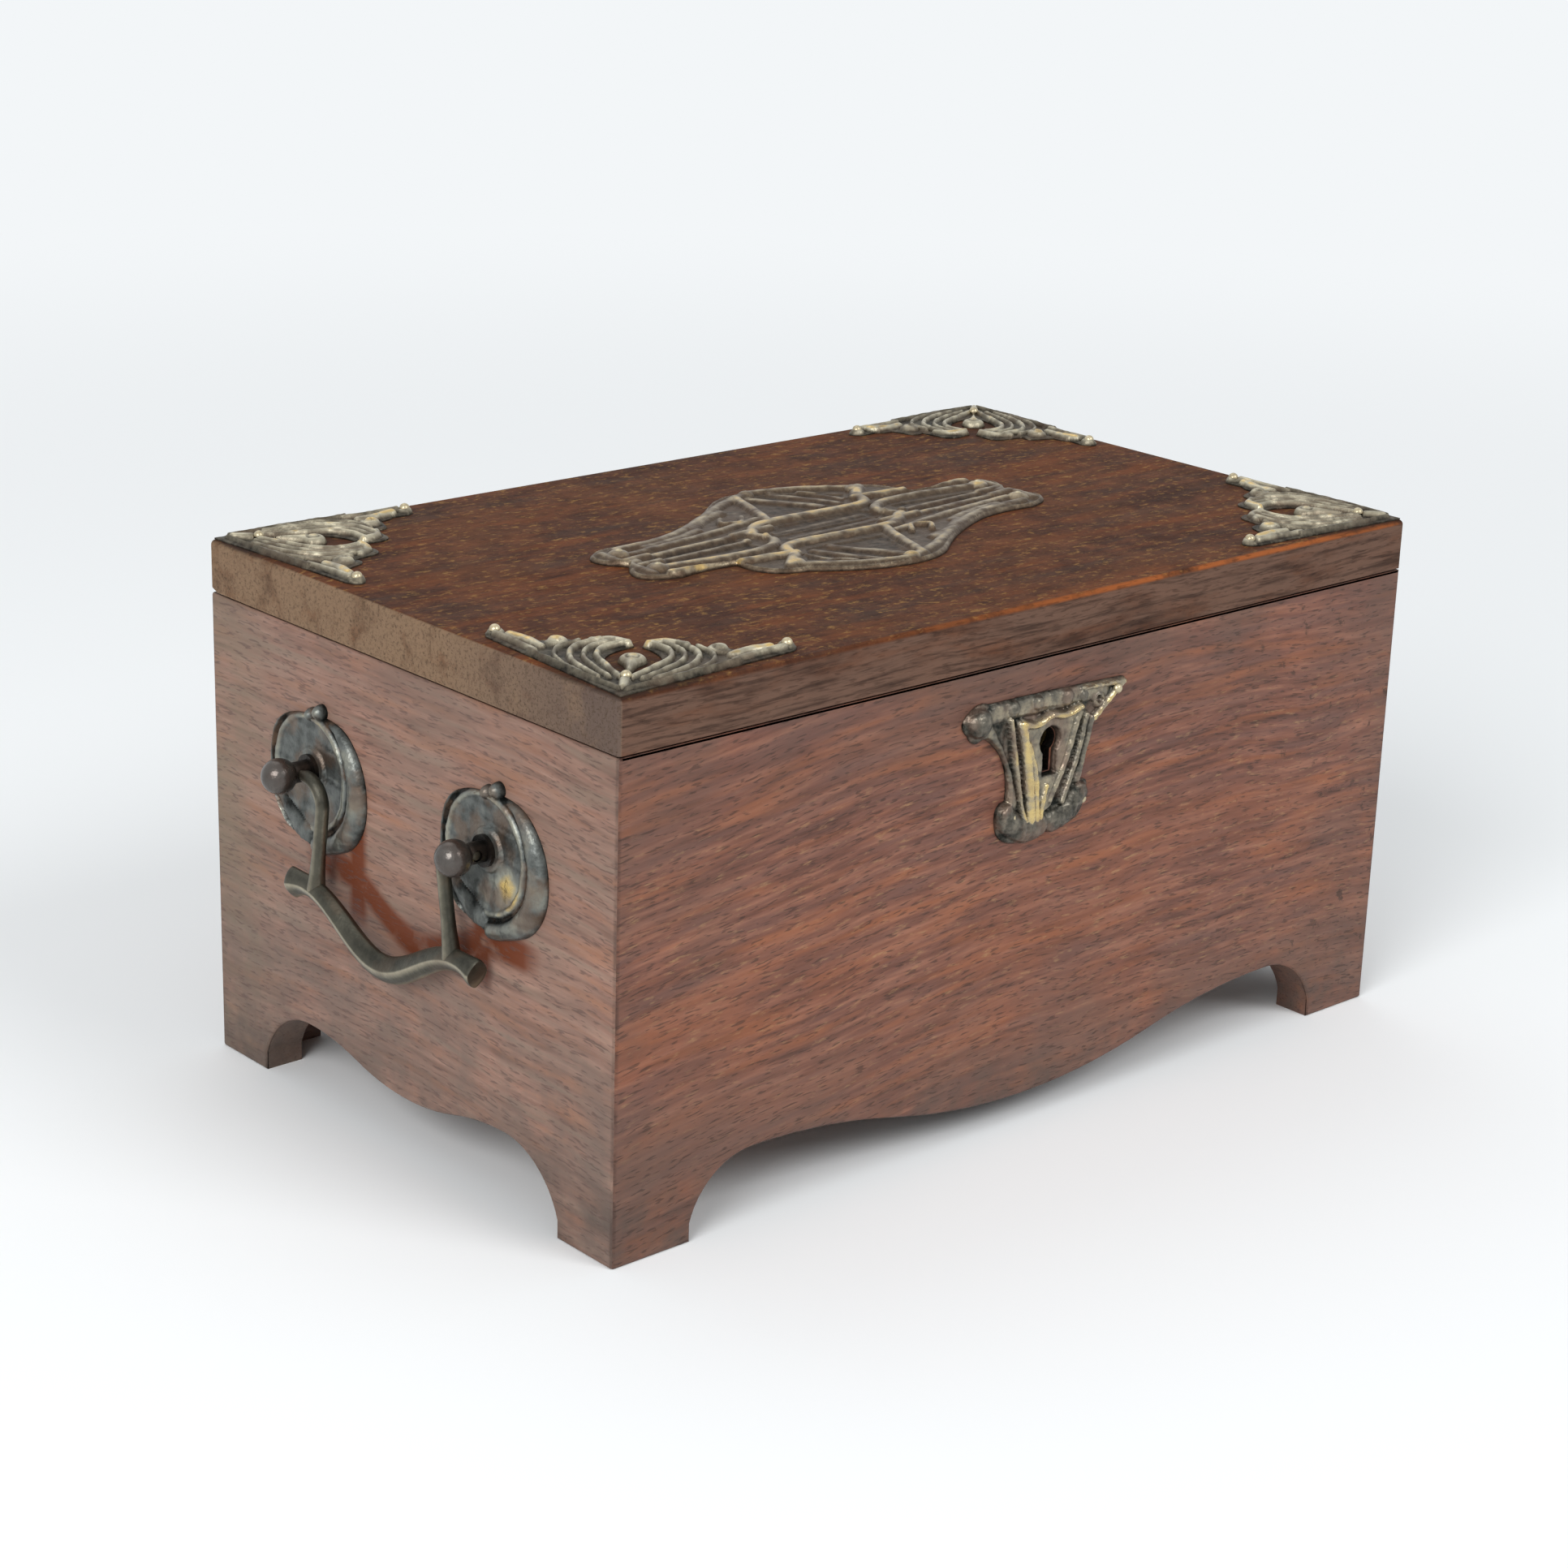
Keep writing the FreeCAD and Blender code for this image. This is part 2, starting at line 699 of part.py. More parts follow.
def lid_pin_spots():
    """Where each pin stands on the lid, with the thickness of the mount that it holds."""
    spots = [(x, y, centre) for x, y in centre_pins]
    for _, x, y, quarters in corner_spots:
        for along, across in corner_pins:
            turned_x, turned_y = quarter_turned(along, across, quarters)
            spots.append((x + turned_x, y + turned_y, corner))
    return spots


def lid_board():
    """The lid plank, recessed below for the hinges and the link plate, and bored above for the pins."""
    body = new_body("lid_board")
    plank = new_sketch(body, "plank")
    rectangle(plank, -half_length, half_length, -half_depth, half_depth)
    top = pad(body, plank, lid_thickness)
    bevel = new_sketch(body, "back_bevel", "YZ_Plane")
    outline(bevel, [(half_depth - bevel_depth, 0), (half_depth, 0), (half_depth, bevel_rise)])
    pocket(body, bevel, symmetric=True)
    inner = leaf_fit + leaf_width - hinge_out
    beds = new_sketch(body, "leaf_beds")
    pilots = new_sketch(body, "hinge_screw_holes")
    for side in (-1, 1):
        middle = hinge_at * side
        half = hinge_length / 2 + leaf_fit
        rectangle(beds, middle - half, middle + half, half_depth - inner, half_depth + board)
        for screw in (-1, 1):
            spot = middle + hinge_screw_at * screw
            circle(pilots, spot, half_depth + hinge_out - hinge_screw_in, screw_shank + screw_fit)
    pocket(body, beds, leaf_sink, reverse=True)
    pocket(body, pilots, leaf_sink + screw_length, reverse=True)
    for name, side in (("left_cove", -1), ("right_cove", 1)):
        cove = new_sketch(body, name, "YZ_Plane", offset=hinge_at * side)
        circle(cove, half_depth + hinge_out, -lid_seam / 2, knuckle + knuckle_gap)
        pocket(body, cove, hinge_length + (pin_end + leaf_fit) * 2, symmetric=True)
    link_half = link_length / 2 + lock_fit
    link_back = board - half_depth
    bed = new_sketch(body, "link_bed")
    rectangle(bed, -link_half, link_half, link_back - selvedge_depth - lock_fit, link_back + lock_fit)
    pocket(body, bed, link, reverse=True)
    link_pilots = new_sketch(body, "link_screw_holes")
    for side in (-1, 1):
        circle(link_pilots, link_screw_at * side, link_back - selvedge_depth / 2, screw_shank + screw_fit)
    pocket(body, link_pilots, screw_length + screw_fit, reverse=True)
    pin_holes = new_sketch(body, "pin_holes", offset=lid_thickness)
    for x, y, _ in lid_pin_spots():
        circle(pin_holes, x, y, pin_shank + mount_pin_fit)
    pocket(body, pin_holes, pin_length + mount_pin_fit)
    before = volume_of(body)
    bored = body.Tip
    level = lid_thickness.value
    side_x, side_y = half_length.value, half_depth.value
    rounding = body.newObject("PartDesign::Fillet", "lid_board_rounding")
    rounding.Base = (bored, edges_at(bored.Shape, lambda spot: abs(spot.z - level) < 1e-6 and (
        abs(abs(spot.x) - side_x) < 1e-6 or abs(abs(spot.y) - side_y) < 1e-6)))
    rounding.setExpression("Radius", lid_round.text)
    finish_feature(body, rounding, before, False)
    place(body, 0, 0, lid_level)
    return body


# Bows of a half circle and of a quarter circle
HALF_CIRCLE = 0.5
QUARTER_BOW = (math.sqrt(2) - 1) / 2

# Hinges. Each leaf is drawn round its pin, which runs along its own X axis; the lid leaf lies above.
KNUCKLES = 5


def hinge_leaf(label, side, upper):
    """One leaf of a butt hinge with its share of the knuckles."""
    body = new_body(label)
    sign = 1 if upper else -1
    share = hinge_length / KNUCKLES
    half = hinge_length / 2
    edge = -(knuckle + knuckle_gap)
    root_line = -(knuckle + hinge_pin + pin_fit) / 2
    own = [number for number in range(KNUCKLES) if (number % 2 == 1) == upper]
    starts = [share * number - half + knuckle_play for number in own]
    ends = [share * (number + 1) - half - knuckle_play for number in own]
    comb = [(-half, -leaf_width), (half, -leaf_width), (half, edge)]
    for start, end in reversed(list(zip(starts, ends))):
        comb += [(end, edge), (end, root_line), (start, root_line), (start, edge)]
    comb.append((-half, edge))
    flap = new_sketch(body, "flap", offset=leaf_gap / 2 * sign)
    outline(flap, comb)
    pad(body, flap, leaf, reverse=not upper)
    for number, (start, end) in enumerate(zip(starts, ends)):
        ring = new_sketch(body, f"knuckle_{number}", "YZ_Plane", offset=start)
        circle(ring, 0, 0, knuckle)
        circle(ring, 0, 0, hinge_pin + pin_fit)
        pad(body, ring, end - start)
    bores = new_sketch(body, "screw_bores")
    for screw in (-1, 1):
        circle(bores, hinge_screw_at * screw, -hinge_screw_in, screw_shank + screw_fit)
    pocket(body, bores, symmetric=True)
    for name, screw in (("left_sink", -1), ("right_sink", 1)):
        turn = LEVEL if upper else FreeCAD.Rotation(FreeCAD.Vector(1, 0, 0), 180)
        countersink(body, name, hinge_screw_at * screw, -hinge_screw_in, leaf_gap / 2 * sign, turn)
    place(body, hinge_at * side, half_depth + hinge_out, seam_level)
    return body


def hinge_rod(label, side):
    """The pin of one hinge, with slightly rounded ends."""
    body = new_body(label)
    rod = new_sketch(body, "rod", "YZ_Plane")
    circle(rod, 0, 0, hinge_pin)
    pad(body, rod, hinge_length + pin_end * 2, symmetric=True)
    before = volume_of(body)
    bar = body.Tip
    ends = body.newObject("PartDesign::Chamfer", f"{label}_ends")
    ends.Base = (bar, edges_at(bar.Shape, lambda spot: abs(spot.x) > hinge_length.value / 2))
    ends.setExpression("Size", (hinge_pin / 3).text)
    finish_feature(body, ends, before, False)
    place(body, hinge_at * side, half_depth + hinge_out, seam_level)
    return body


def hinge_screws(label, upper):
    """The screws of both hinges in the case or in the lid."""
    sign = 1 if upper else -1
    turn = LEVEL if upper else FreeCAD.Rotation(FreeCAD.Vector(1, 0, 0), 180)
    screws = []
    for side in (-1, 1):
        for screw in (-1, 1):
            x = hinge_at * side + hinge_screw_at * screw
            y = half_depth + hinge_out - hinge_screw_in
            name = f"{label}_{len(screws)}"
            screws.append(countersunk_screw(name, x, y, seam_level + leaf_gap / 2 * sign, turn))
    return set_of(label, screws)


# Lock. Each piece is drawn in the front board's own elevation, round the middle of the box's length.
lock_back = -board
plate_face = plate - board
cover_face = plate_face + cover_depth
bolt_middle = (plate_face + cover_face - cover_wall) / 2
bolt_width = cover_depth - cover_wall - bolt_fit * 2
selvedge_under = case_height - plate
cover_bottom = case_height - plate_height + cover_foot
staple_foot = lid_level - staple_length
bar_top = staple_foot - bolt_drop
bar_bottom = bar_top - bolt_bar
stud_level = (bar_top + bar_bottom) / 2
eye_bottom = staple_foot + staple_sill
eye_height = tongue_height + eye_fit * 2
tongue_level = eye_bottom + eye_fit
tip_at = staple_thickness / 2 + tongue_gap


def lock_plate():
    """The plate of the lock, bent forward at the top into a selvedge with a slot for each staple."""
    body = new_body("lock_plate")
    bend = new_sketch(body, "bend", "YZ_Plane")
    outline(bend, [
        (case_height - plate_height, lock_back),
        (case_height, lock_back),
        (case_height, lock_back + selvedge_depth),
        (selvedge_under, lock_back + selvedge_depth),
        (selvedge_under, plate_face),
        (case_height - plate_height, plate_face),
    ])
    pad(body, bend, plate_width, symmetric=True)
    slots = new_sketch(body, "slots", "XZ_Plane", offset=-case_height)
    wide = staple_width / 2 + slot_fit
    thick = staple_thickness / 2 + slot_fit
    for side in (-1, 1):
        middle = staple_at * side
        rectangle(slots, middle - thick, middle + thick, bolt_middle - wide, bolt_middle + wide)
    pocket(body, slots, plate * 2, reverse=True)
    bores = new_sketch(body, "bores", offset=lock_back)
    for side in (-1, 1):
        circle(bores, lock_screw_at * side, case_height - lock_screw_drop, screw_shank + screw_fit)
    circle(bores, 0, keyhole_height, key_post_radius)
    for x in (left_stud_at, right_stud_at):
        circle(bores, x, stud_level, stud_radius)
    pocket(body, bores, plate, reverse=True)
    for name, side in (("left_sink", -1), ("right_sink", 1)):
        countersink(body, name, lock_screw_at * side, case_height - lock_screw_drop, lock_back, LEVEL)
    place(body, 0, -half_depth, 0, FRONT)
    return body


def lock_cover():
    """The tray that closes the works from the front, open at its top and back, with its own keyhole."""
    body = new_body("lock_cover")
    half = cover_width / 2
    block = new_sketch(body, "block", offset=plate_face)
    rectangle(block, -half, half, cover_bottom, selvedge_under)
    pad(body, block, cover_depth)
    hollow = new_sketch(body, "hollow", offset=plate_face)
    rectangle(hollow, cover_wall - half, half - cover_wall, cover_bottom + cover_wall, selvedge_under)
    pocket(body, hollow, cover_depth - cover_wall, reverse=True)
    hole = new_sketch(body, "keyhole")
    keyhole(hole, keyhole_height)
    pocket(body, hole, symmetric=True)
    place(body, 0, -half_depth, 0, FRONT)
    return body


def lock_bolt():
    """The sliding bolt: a slotted bar with two fingers, whose tongues pass through the staples."""
    body = new_body("lock_bolt")
    left = -staple_at - tip_at - tongue_length - finger_width
    right = right_stud_at + stud_radius + stud_fit + bolt_end
    tongue_top = tongue_level + tongue_height
    bar = new_sketch(body, "bar", offset=bolt_middle)
    rectangle(bar, left, right, bar_bottom, bar_top)
    pad(body, bar, bolt_width, symmetric=True)
    talon = new_sketch(body, "talon", offset=bolt_middle)
    outline(talon, [(-talon_half, bar_bottom), (talon_half, bar_bottom),
                    (talon_half, bar_bottom + talon_rise), (-talon_half, bar_bottom + talon_rise)])
    pocket(body, talon, bolt_width * 2, symmetric=True)
    slots = new_sketch(body, "stud_slots", offset=bolt_middle)
    reach = stud_radius + stud_fit
    for stud in (left_stud_at, right_stud_at):
        start, end = stud - bolt_throw, stud
        outline(slots, [(start, stud_level - reach), (end, stud_level - reach, -HALF_CIRCLE),
                        (end, stud_level + reach), (start, stud_level + reach, -HALF_CIRCLE)])
    pocket(body, slots, bolt_width * 2, symmetric=True)
    fingers = new_sketch(body, "fingers", offset=bolt_middle)
    for side in (-1, 1):
        tip = staple_at * side - tip_at
        neck = tip - tongue_length
        outline(fingers, [(neck - finger_width, bar_top), (neck, bar_top), (neck, tongue_level),
                          (tip, tongue_level), (tip, tongue_top), (neck - finger_width, tongue_top)])
    pad(body, fingers, tongue_width, symmetric=True)
    place(body, 0, -half_depth, 0, FRONT)
    return body


def round_bar(label, x, y, radius, start, length):
    """A round post of the lock that stands in the plate and points to the front."""
    bar = simple("Cylinder", label, Radius=radius, Height=length)
    bar.Label = label
    place(bar, x, start - half_depth, y, FRONT)
    return bar


def key_post():
    return round_bar("key_post", 0, keyhole_height, key_post_radius, board, plate + cover_depth)


def bolt_studs():
    length = plate + cover_depth - cover_wall
    studs = [round_bar(f"bolt_stud_{number}", x, stud_level, stud_radius, board, length)
             for number, x in enumerate((left_stud_at, right_stud_at))]
    return set_of("bolt_studs", studs)


def lock_screws():
    screws = [countersunk_screw(f"lock_screw_{number}", lock_screw_at * side, board - half_depth,
                                case_height - lock_screw_drop, FRONT) for number, side in enumerate((-1, 1))]
    return set_of("lock_screws", screws)


def link_plate():
    """The plate under the lid with its two staples, each with an eye for a tongue of the bolt."""
    body = new_body("link_plate")
    back = board - half_depth
    middle = -half_depth - bolt_middle
    strip = new_sketch(body, "strip")
    rectangle(strip, -link_length / 2, link_length / 2, back - selvedge_depth, back)
    pad(body, strip, link)
    staples = new_sketch(body, "staples")
    for side in (-1, 1):
        x = staple_at * side
        rectangle(staples, x - staple_thickness / 2, x + staple_thickness / 2,
                  middle - staple_width / 2, middle + staple_width / 2)
    pad(body, staples, staple_length, reverse=True)
    eye = new_sketch(body, "eyes", "YZ_Plane")
    eye_half = tongue_width / 2 + eye_fit
    foot = eye_bottom - lid_level
    rectangle(eye, middle - eye_half, middle + eye_half, foot, foot + eye_height)
    pocket(body, eye, link_length, symmetric=True)
    bores = new_sketch(body, "screw_bores")
    for side in (-1, 1):
        circle(bores, link_screw_at * side, back - selvedge_depth / 2, screw_shank + screw_fit)
    pocket(body, bores, symmetric=True)
    for name, side in (("left_sink", -1), ("right_sink", 1)):
        countersink(body, name, link_screw_at * side, back - selvedge_depth / 2, 0, LEVEL)
    place(body, 0, 0, lid_level)
    return body


def link_screws():
    y = board - half_depth - selvedge_depth / 2
    screws = [countersunk_screw(f"link_screw_{number}", link_screw_at * side, y, lid_level, LEVEL)
              for number, side in enumerate((-1, 1))]
    return set_of("link_screws", screws)


# Handles. Each piece is drawn as seen from outside, with its own Z axis pointing away from the end board.
DISH_BOW = 0.1
BOSS_TAPER = 0.8
CURL_ALONG = -0.67
CURL_DOWN = -0.74


def back_plate(label, x, y, turn):
    """A cast plate: a beaded dish, a crescent rim that swells to one side, a curl and a two-bead finial."""
    body = new_body(label)
    rim = new_sketch(body, "rim")
    circle(rim, rim_right, -rim_below, rim_radius)
    pad(body, rim, rim_height)
    hollow = new_sketch(body, "hollow")
    circle(hollow, -hollow_left, -hollow_below, hollow_radius)
    pocket(body, hollow, symmetric=True)
    dish = new_sketch(body, "dish", "XZ_Plane")
    bead_in = dish_radius - bead_width
    outline(dish, [
        (0, 0),
        (dish_radius, 0),
        (dish_radius, dish_edge, -bead_height / bead_width),
        (bead_in, dish_edge, DISH_BOW),
        (plate_boss_radius, dish_floor),
        (plate_boss_radius * BOSS_TAPER, plate_boss),
        (0, plate_boss),
    ])
    revolve(body, dish)
    curl = new_sketch(body, "curl")
    circle(curl, rim_right + rim_radius * CURL_ALONG, rim_radius * CURL_DOWN - rim_below, curl_radius)
    pocket(body, curl, symmetric=True)
    top = rim_radius - rim_below + finial_out
    for name, side in (("left_bead", -1), ("right_bead", 1)):
        dome(body, name, rim_right + finial_spread * side, top, 0, finial_radius, finial_height)
    bore = new_sketch(body, "bore")
    circle(bore, 0, 0, shank + shank_fit)
    pocket(body, bore, symmetric=True)
    place(body, x, y, post_height, turn)
    return body


def handle_post(label, x, y, turn):
    """A turned post with a ball head; the bail's peg turns in the hole across its neck."""
    body = new_body(label)
    inner_end = -(board + nut_height + shank_end)
    collar_top = plate_boss + collar_height
    neck_end = ball_stand - root(ball_radius * ball_radius - neck_radius * neck_radius)
    ball_bow = Size(f"(tan((180 deg - asin({neck_radius.text} / {ball_radius.text})) / 4) / 2)")
    profile = new_sketch(body, "profile", "XZ_Plane")
    outline(profile, [
        (0, inner_end),
        (shank, inner_end),
        (shank, plate_boss),
        (collar_radius, plate_boss),
        (collar_radius, collar_top),
        (neck_radius, collar_top),
        (neck_radius, neck_end, -ball_bow),
        (0, ball_stand + ball_radius),
    ])
    revolve(body, profile)
    eye = new_sketch(body, "eye", "YZ_Plane")
    circle(eye, 0, bail_stand, peg_radius + peg_fit)
    pocket(body, eye, symmetric=True)
    place(body, x, y, post_height, turn)
    return body


def handle_nuts(label, x, turn, inward):
    """The two nuts that hold a handle's posts from inside the box."""
    nuts = []
    for side in (-1, 1):
        hexagon = simple("Prism", f"{label}_hexagon_{len(nuts)}", Circumradius=nut_radius, Height=nut_height)
        hexagon.Polygon = 6
        thread = simple("Cylinder", f"{label}_bore_{len(nuts)}", Radius=shank + shank_fit, Height=nut_height)
        nut = joined("Cut", f"{label}_{len(nuts)}", hexagon, thread)
        place(nut, x - (board + nut_height) * inward, post_half * side, post_height, turn)
        nuts.append(nut)
    return set_of(label, nuts)


# How far along from the middle to the crest, and from the crest to the tip, the grip's sections stand.
GRIP_RISE = (0.0, 0.3, 0.6, 0.85)
GRIP_FALL = (0.0, 0.5, 1.0)


def grip_sections():
    """Half of the grip's sections as (distance along, drop, radius), from the middle to the tip."""
    sections = []
    for share in GRIP_RISE:
        ease = (1 - math.cos(math.pi * share)) / 2
        drop = grip_low - (grip_low - grip_crest) * ease
        sections.append((crest_half * share, drop, grip_radius - (grip_radius - crest_radius) * ease))
    for share in GRIP_FALL:
        ease = 1 - math.cos(math.pi / 2 * share)
        drop = grip_crest + (grip_tip - grip_crest) * ease
        along = crest_half + (tip_half - crest_half) * share
        sections.append((along, drop, crest_radius + (tip_radius - crest_radius) * ease))
    return sections


def bail(label, x, turn):
    """A cast bail: a bow-shaped grip with drooping ends, hung on two curved arms with pegs."""
    body = new_body(label)
    half = grip_sections()
    whole = [(-along, drop, radius) for along, drop, radius in reversed(half[1:])] + half
    rings = []
    for number, (along, drop, radius) in enumerate(whole):
        ring = new_sketch(body, f"grip_{number}", "YZ_Plane", offset=along)
        circle(ring, -drop, 0, radius)
        rings.append(ring)
    document.recompute()
    grip = body.newObject("PartDesign::AdditiveLoft", f"{label}_grip")
    grip.Profile = rings[0]
    grip.Sections = rings[1:]
    finish_feature(body, grip, 0.0, True)
    arm_start = post_half - neck_radius - shoulder_gap
    bend_at = arm_start - arm_run
    arm_in = bend_at - arm_bend
    spine = new_sketch(body, "arm_line")
    splay = arm_splay / (grip_crest - arm_bend)
    draw_sides(spine, [
        (-arm_start, 0),
        (-bend_at, 0, QUARTER_BOW),
        (-arm_in, -arm_bend, Size(f"(tan(atan({splay.text}) / 2) / 2)")),
        (-arm_in - arm_splay, -grip_crest),
    ], False)
    section = new_sketch(body, "arm_section", "YZ_Plane", offset=-arm_start)
    circle(section, 0, 0, arm_radius)
    document.recompute()
    before = volume_of(body)
    arm = body.newObject("PartDesign::AdditivePipe", f"{label}_arm")
    arm.Profile = section
    arm.Spine = (spine, ["Edge1", "Edge2", "Edge3"])
    finish_feature(body, arm, before, True)
    end = new_sketch(body, "peg_section", "YZ_Plane", offset=-arm_start)
    circle(end, 0, 0, peg_radius)
    peg = pad(body, end, post_half + peg_reach - arm_start, reverse=True)
    before = volume_of(body)
    pair = body.newObject("PartDesign::Mirrored", f"{label}_pair")
    pair.Originals = [arm, peg]
    pair.MirrorPlane = (origin_plane(body, "YZ_Plane"), [""])
    finish_feature(body, pair, before, True)
    place(body, x, 0, post_height, turn)
    return body


# Escutcheon, drawn as seen from the front round the keyhole's centre. Its right half, from the notch in its foot to
# its top, is in shares of its half width along, and of its height above or below the keyhole.
SHIELD_EDGE = (
    (0.0, -0.915, -0.14),
    (0.3, -0.995, -0.2),
    (0.6, -0.62, -0.4),
    (0.46, -0.54, 0.13),
    (0.86, 0.36, -0.12),
    (1.0, 0.8, -0.3),
    (0.83, 1.0),
)
SHIELD_BAR = 0.66
SHIELD_RAIL = ((0.43, -0.5, -0.02), (0.72, 0.3, 0.14))
SHIELD_LOBE = (0.27, -0.85)
PANEL_SLOPE = 1.9


def shield_spot(along, up, *bow):
    return (shield_half * along, shield_top * up if up > 0 else shield_drop * up) + bow


def escutcheon():
    """A pressed shield: winged top bar, drawn-in sides, two lobes below and a framed panel round the keyhole."""
    body = new_body("escutcheon")
    edge = new_sketch(body, "edge")
    outline(edge, doubled([shield_spot(*share) for share in SHIELD_EDGE], across_upright))
    pad(body, edge, shield)
    frame = new_sketch(body, "panel_frame", offset=shield)
    slope = shield_rim * PANEL_SLOPE
    inner_top = panel_top - shield_rim
    outline(frame, [(0, -panel_drop), (panel_half, panel_top), (-panel_half, panel_top)])
    outline(frame, [(0, slope * 2 - panel_drop), (panel_half - slope, inner_top), (slope - panel_half, inner_top)])
    pad(body, frame, shield_relief)
    bar = new_sketch(body, "top_bar", offset=shield)
    reach = shield_half * SHIELD_BAR
    bar_foot = panel_top + shield_rim
    bar_head = shield_top - shield_rim / 2
    outline(bar, [(-reach, bar_foot), (reach, bar_foot, -HALF_CIRCLE),
                  (reach, bar_head), (-reach, bar_head, -HALF_CIRCLE)])
    pad(body, bar, shield_relief)
    for name, side in (("left", -1), ("right", 1)):
        rail = new_sketch(body, f"{name}_rail", offset=shield)
        outline(rail, [shield_spot(along * side, up, bow * side) for along, up, bow in SHIELD_RAIL])
        pad(body, rail, shield_relief)
        along, down = shield_spot(*SHIELD_LOBE)
        dome(body, f"{name}_lobe", along * side, down, shield, knob_radius, shield_relief)
    hole = new_sketch(body, "keyhole")
    keyhole(hole, as_size(0))
    pocket(body, hole, symmetric=True)
    pins = new_sketch(body, "pin_bores")
    for x, y in shield_pins:
        circle(pins, x, y, pin_shank + mount_pin_fit)
    pocket(body, pins, symmetric=True)
    place(body, 0, -half_depth, keyhole_height, FRONT)
    return body


def escutcheon_pins():
    pins = [round_pin(f"escutcheon_pin_{number}", x, -half_depth - shield, keyhole_height + y, FRONT,
                      shield + tack_length) for number, (x, y) in enumerate(shield_pins)]
    return set_of("escutcheon_pins", pins)


# Corner mount, drawn from its own outer corner along the two edges of the lid. One leg's outline up to the heart of
# the open leaf, its ribs with the bows of their two sides, and its scrolls, all in shares of the leg.
CORNER_EDGE = (
    (0.0, 0.0),
    (0.933, 0.0, -0.5),
    (0.933, 0.134, 0.1),
    (0.8, 0.18, -0.42),
    (0.7, 0.306, -0.42),
    (0.587, 0.432, 0.18),
    (0.23, 0.23),
)
CORNER_RIBS = (
    ((0.147, 0.063, -0.03), (0.86, 0.075, -0.03)),
    ((0.178, 0.13, -0.13), (0.746, 0.256, 0.05)),
    ((0.21, 0.193, -0.22), (0.62, 0.382, 0.12)),
)
CORNER_SCROLLS = ((0.75, 0.243), (0.643, 0.369))
STEM_ROOT = 0.8


def flipped(points):
    return [(y, x) + tuple(-bow for bow in rest) for x, y, *rest in points]


def corner_mount(label, x, y, quarters):
    """An openwork corner: scalloped legs with sweeping ribs and scroll ends round a bud in an open leaf."""
    body = new_body(label)
    leg = corner_leg

    def spots(shares):
        return [(leg * along, leg * up, *bow) for along, up, *bow in shares]

    edge = new_sketch(body, "edge")
    outline(edge, doubled(spots(CORNER_EDGE), across_diagonal))
    pad(body, edge, corner)
    for name, turned in (("near", list), ("far", flipped)):
        for number, shares in enumerate(CORNER_RIBS):
            rib = new_sketch(body, f"{name}_rib_{number}", offset=corner)
            outline(rib, spots(turned(shares)))
            pad(body, rib, corner_relief)
        for number, (along, up) in enumerate(spots(turned(CORNER_SCROLLS))):
            dome(body, f"{name}_scroll_{number}", along, up, 0, scroll_radius, scroll_height)
    stem = new_sketch(body, "stem")
    half = bud_stem / 2 / math.sqrt(2)
    near = leg * CORNER_EDGE[-1][0] * STEM_ROOT
    outline(stem, [(near + half, near - half), (bud_in + half, bud_in - half),
                   (bud_in - half, bud_in + half), (near - half, near + half)])
    pad(body, stem, corner)
    dome(body, "bud", bud_in, bud_in, 0, bud_radius, bud_height)
    bores = new_sketch(body, "pin_bores")
    for across, up in corner_pins:
        circle(bores, across, up, pin_shank + mount_pin_fit)
    pocket(body, bores, symmetric=True)
    place(body, x, y, lid_top, FreeCAD.Rotation(FreeCAD.Vector(0, 0, 1), 90 * quarters))
    return body


# Centre mount, in shares of its half length and half width; each list is half of a figure that is
# completed by a half turn.
CENTRE_EDGE = (
    (0.84, -0.39, -0.45),
    (0.905, 0.0, -0.45),
    (0.84, 0.39, 0.05),
    (0.59, 0.37, -0.25),
    (0.43, 0.74, -0.08),
    (0.06, 1.0, -0.1),
    (-0.19, 0.82, 0.04),
    (-0.57, 0.42, 0.05),
)
CENTRE_FIELD = ((0.27, 0.03), (0.21, 0.21), (-0.17, 0.21))
CENTRE_WINDOW = ((-0.05, 0.4), (0.19, 0.4, 0.1), (0.24, 0.66, 0.1), (0.06, 0.83, 0.1), (-0.07, 0.66))
CENTRE_SLOT = ((0.4, -0.2, -0.06), (0.76, -0.1), (0.76, 0.1, -0.06), (0.4, 0.2))
CENTRE_RIBS = (
    ((0.8, 0.3, 0.02), (0.3, 0.32, -0.07)),
    ((0.36, 0.74, -0.04), (0.08, 0.92, 0.12)),
    ((-0.1, 0.86, 0.03), (-0.7, 0.32, 0.03)),
    ((-0.12, 0.34, -0.22), (-0.13, 0.72, 0.1)),
)


def half_turned(points):
    return [(-point[0], -point[1]) + tuple(point[2:]) for point in points]


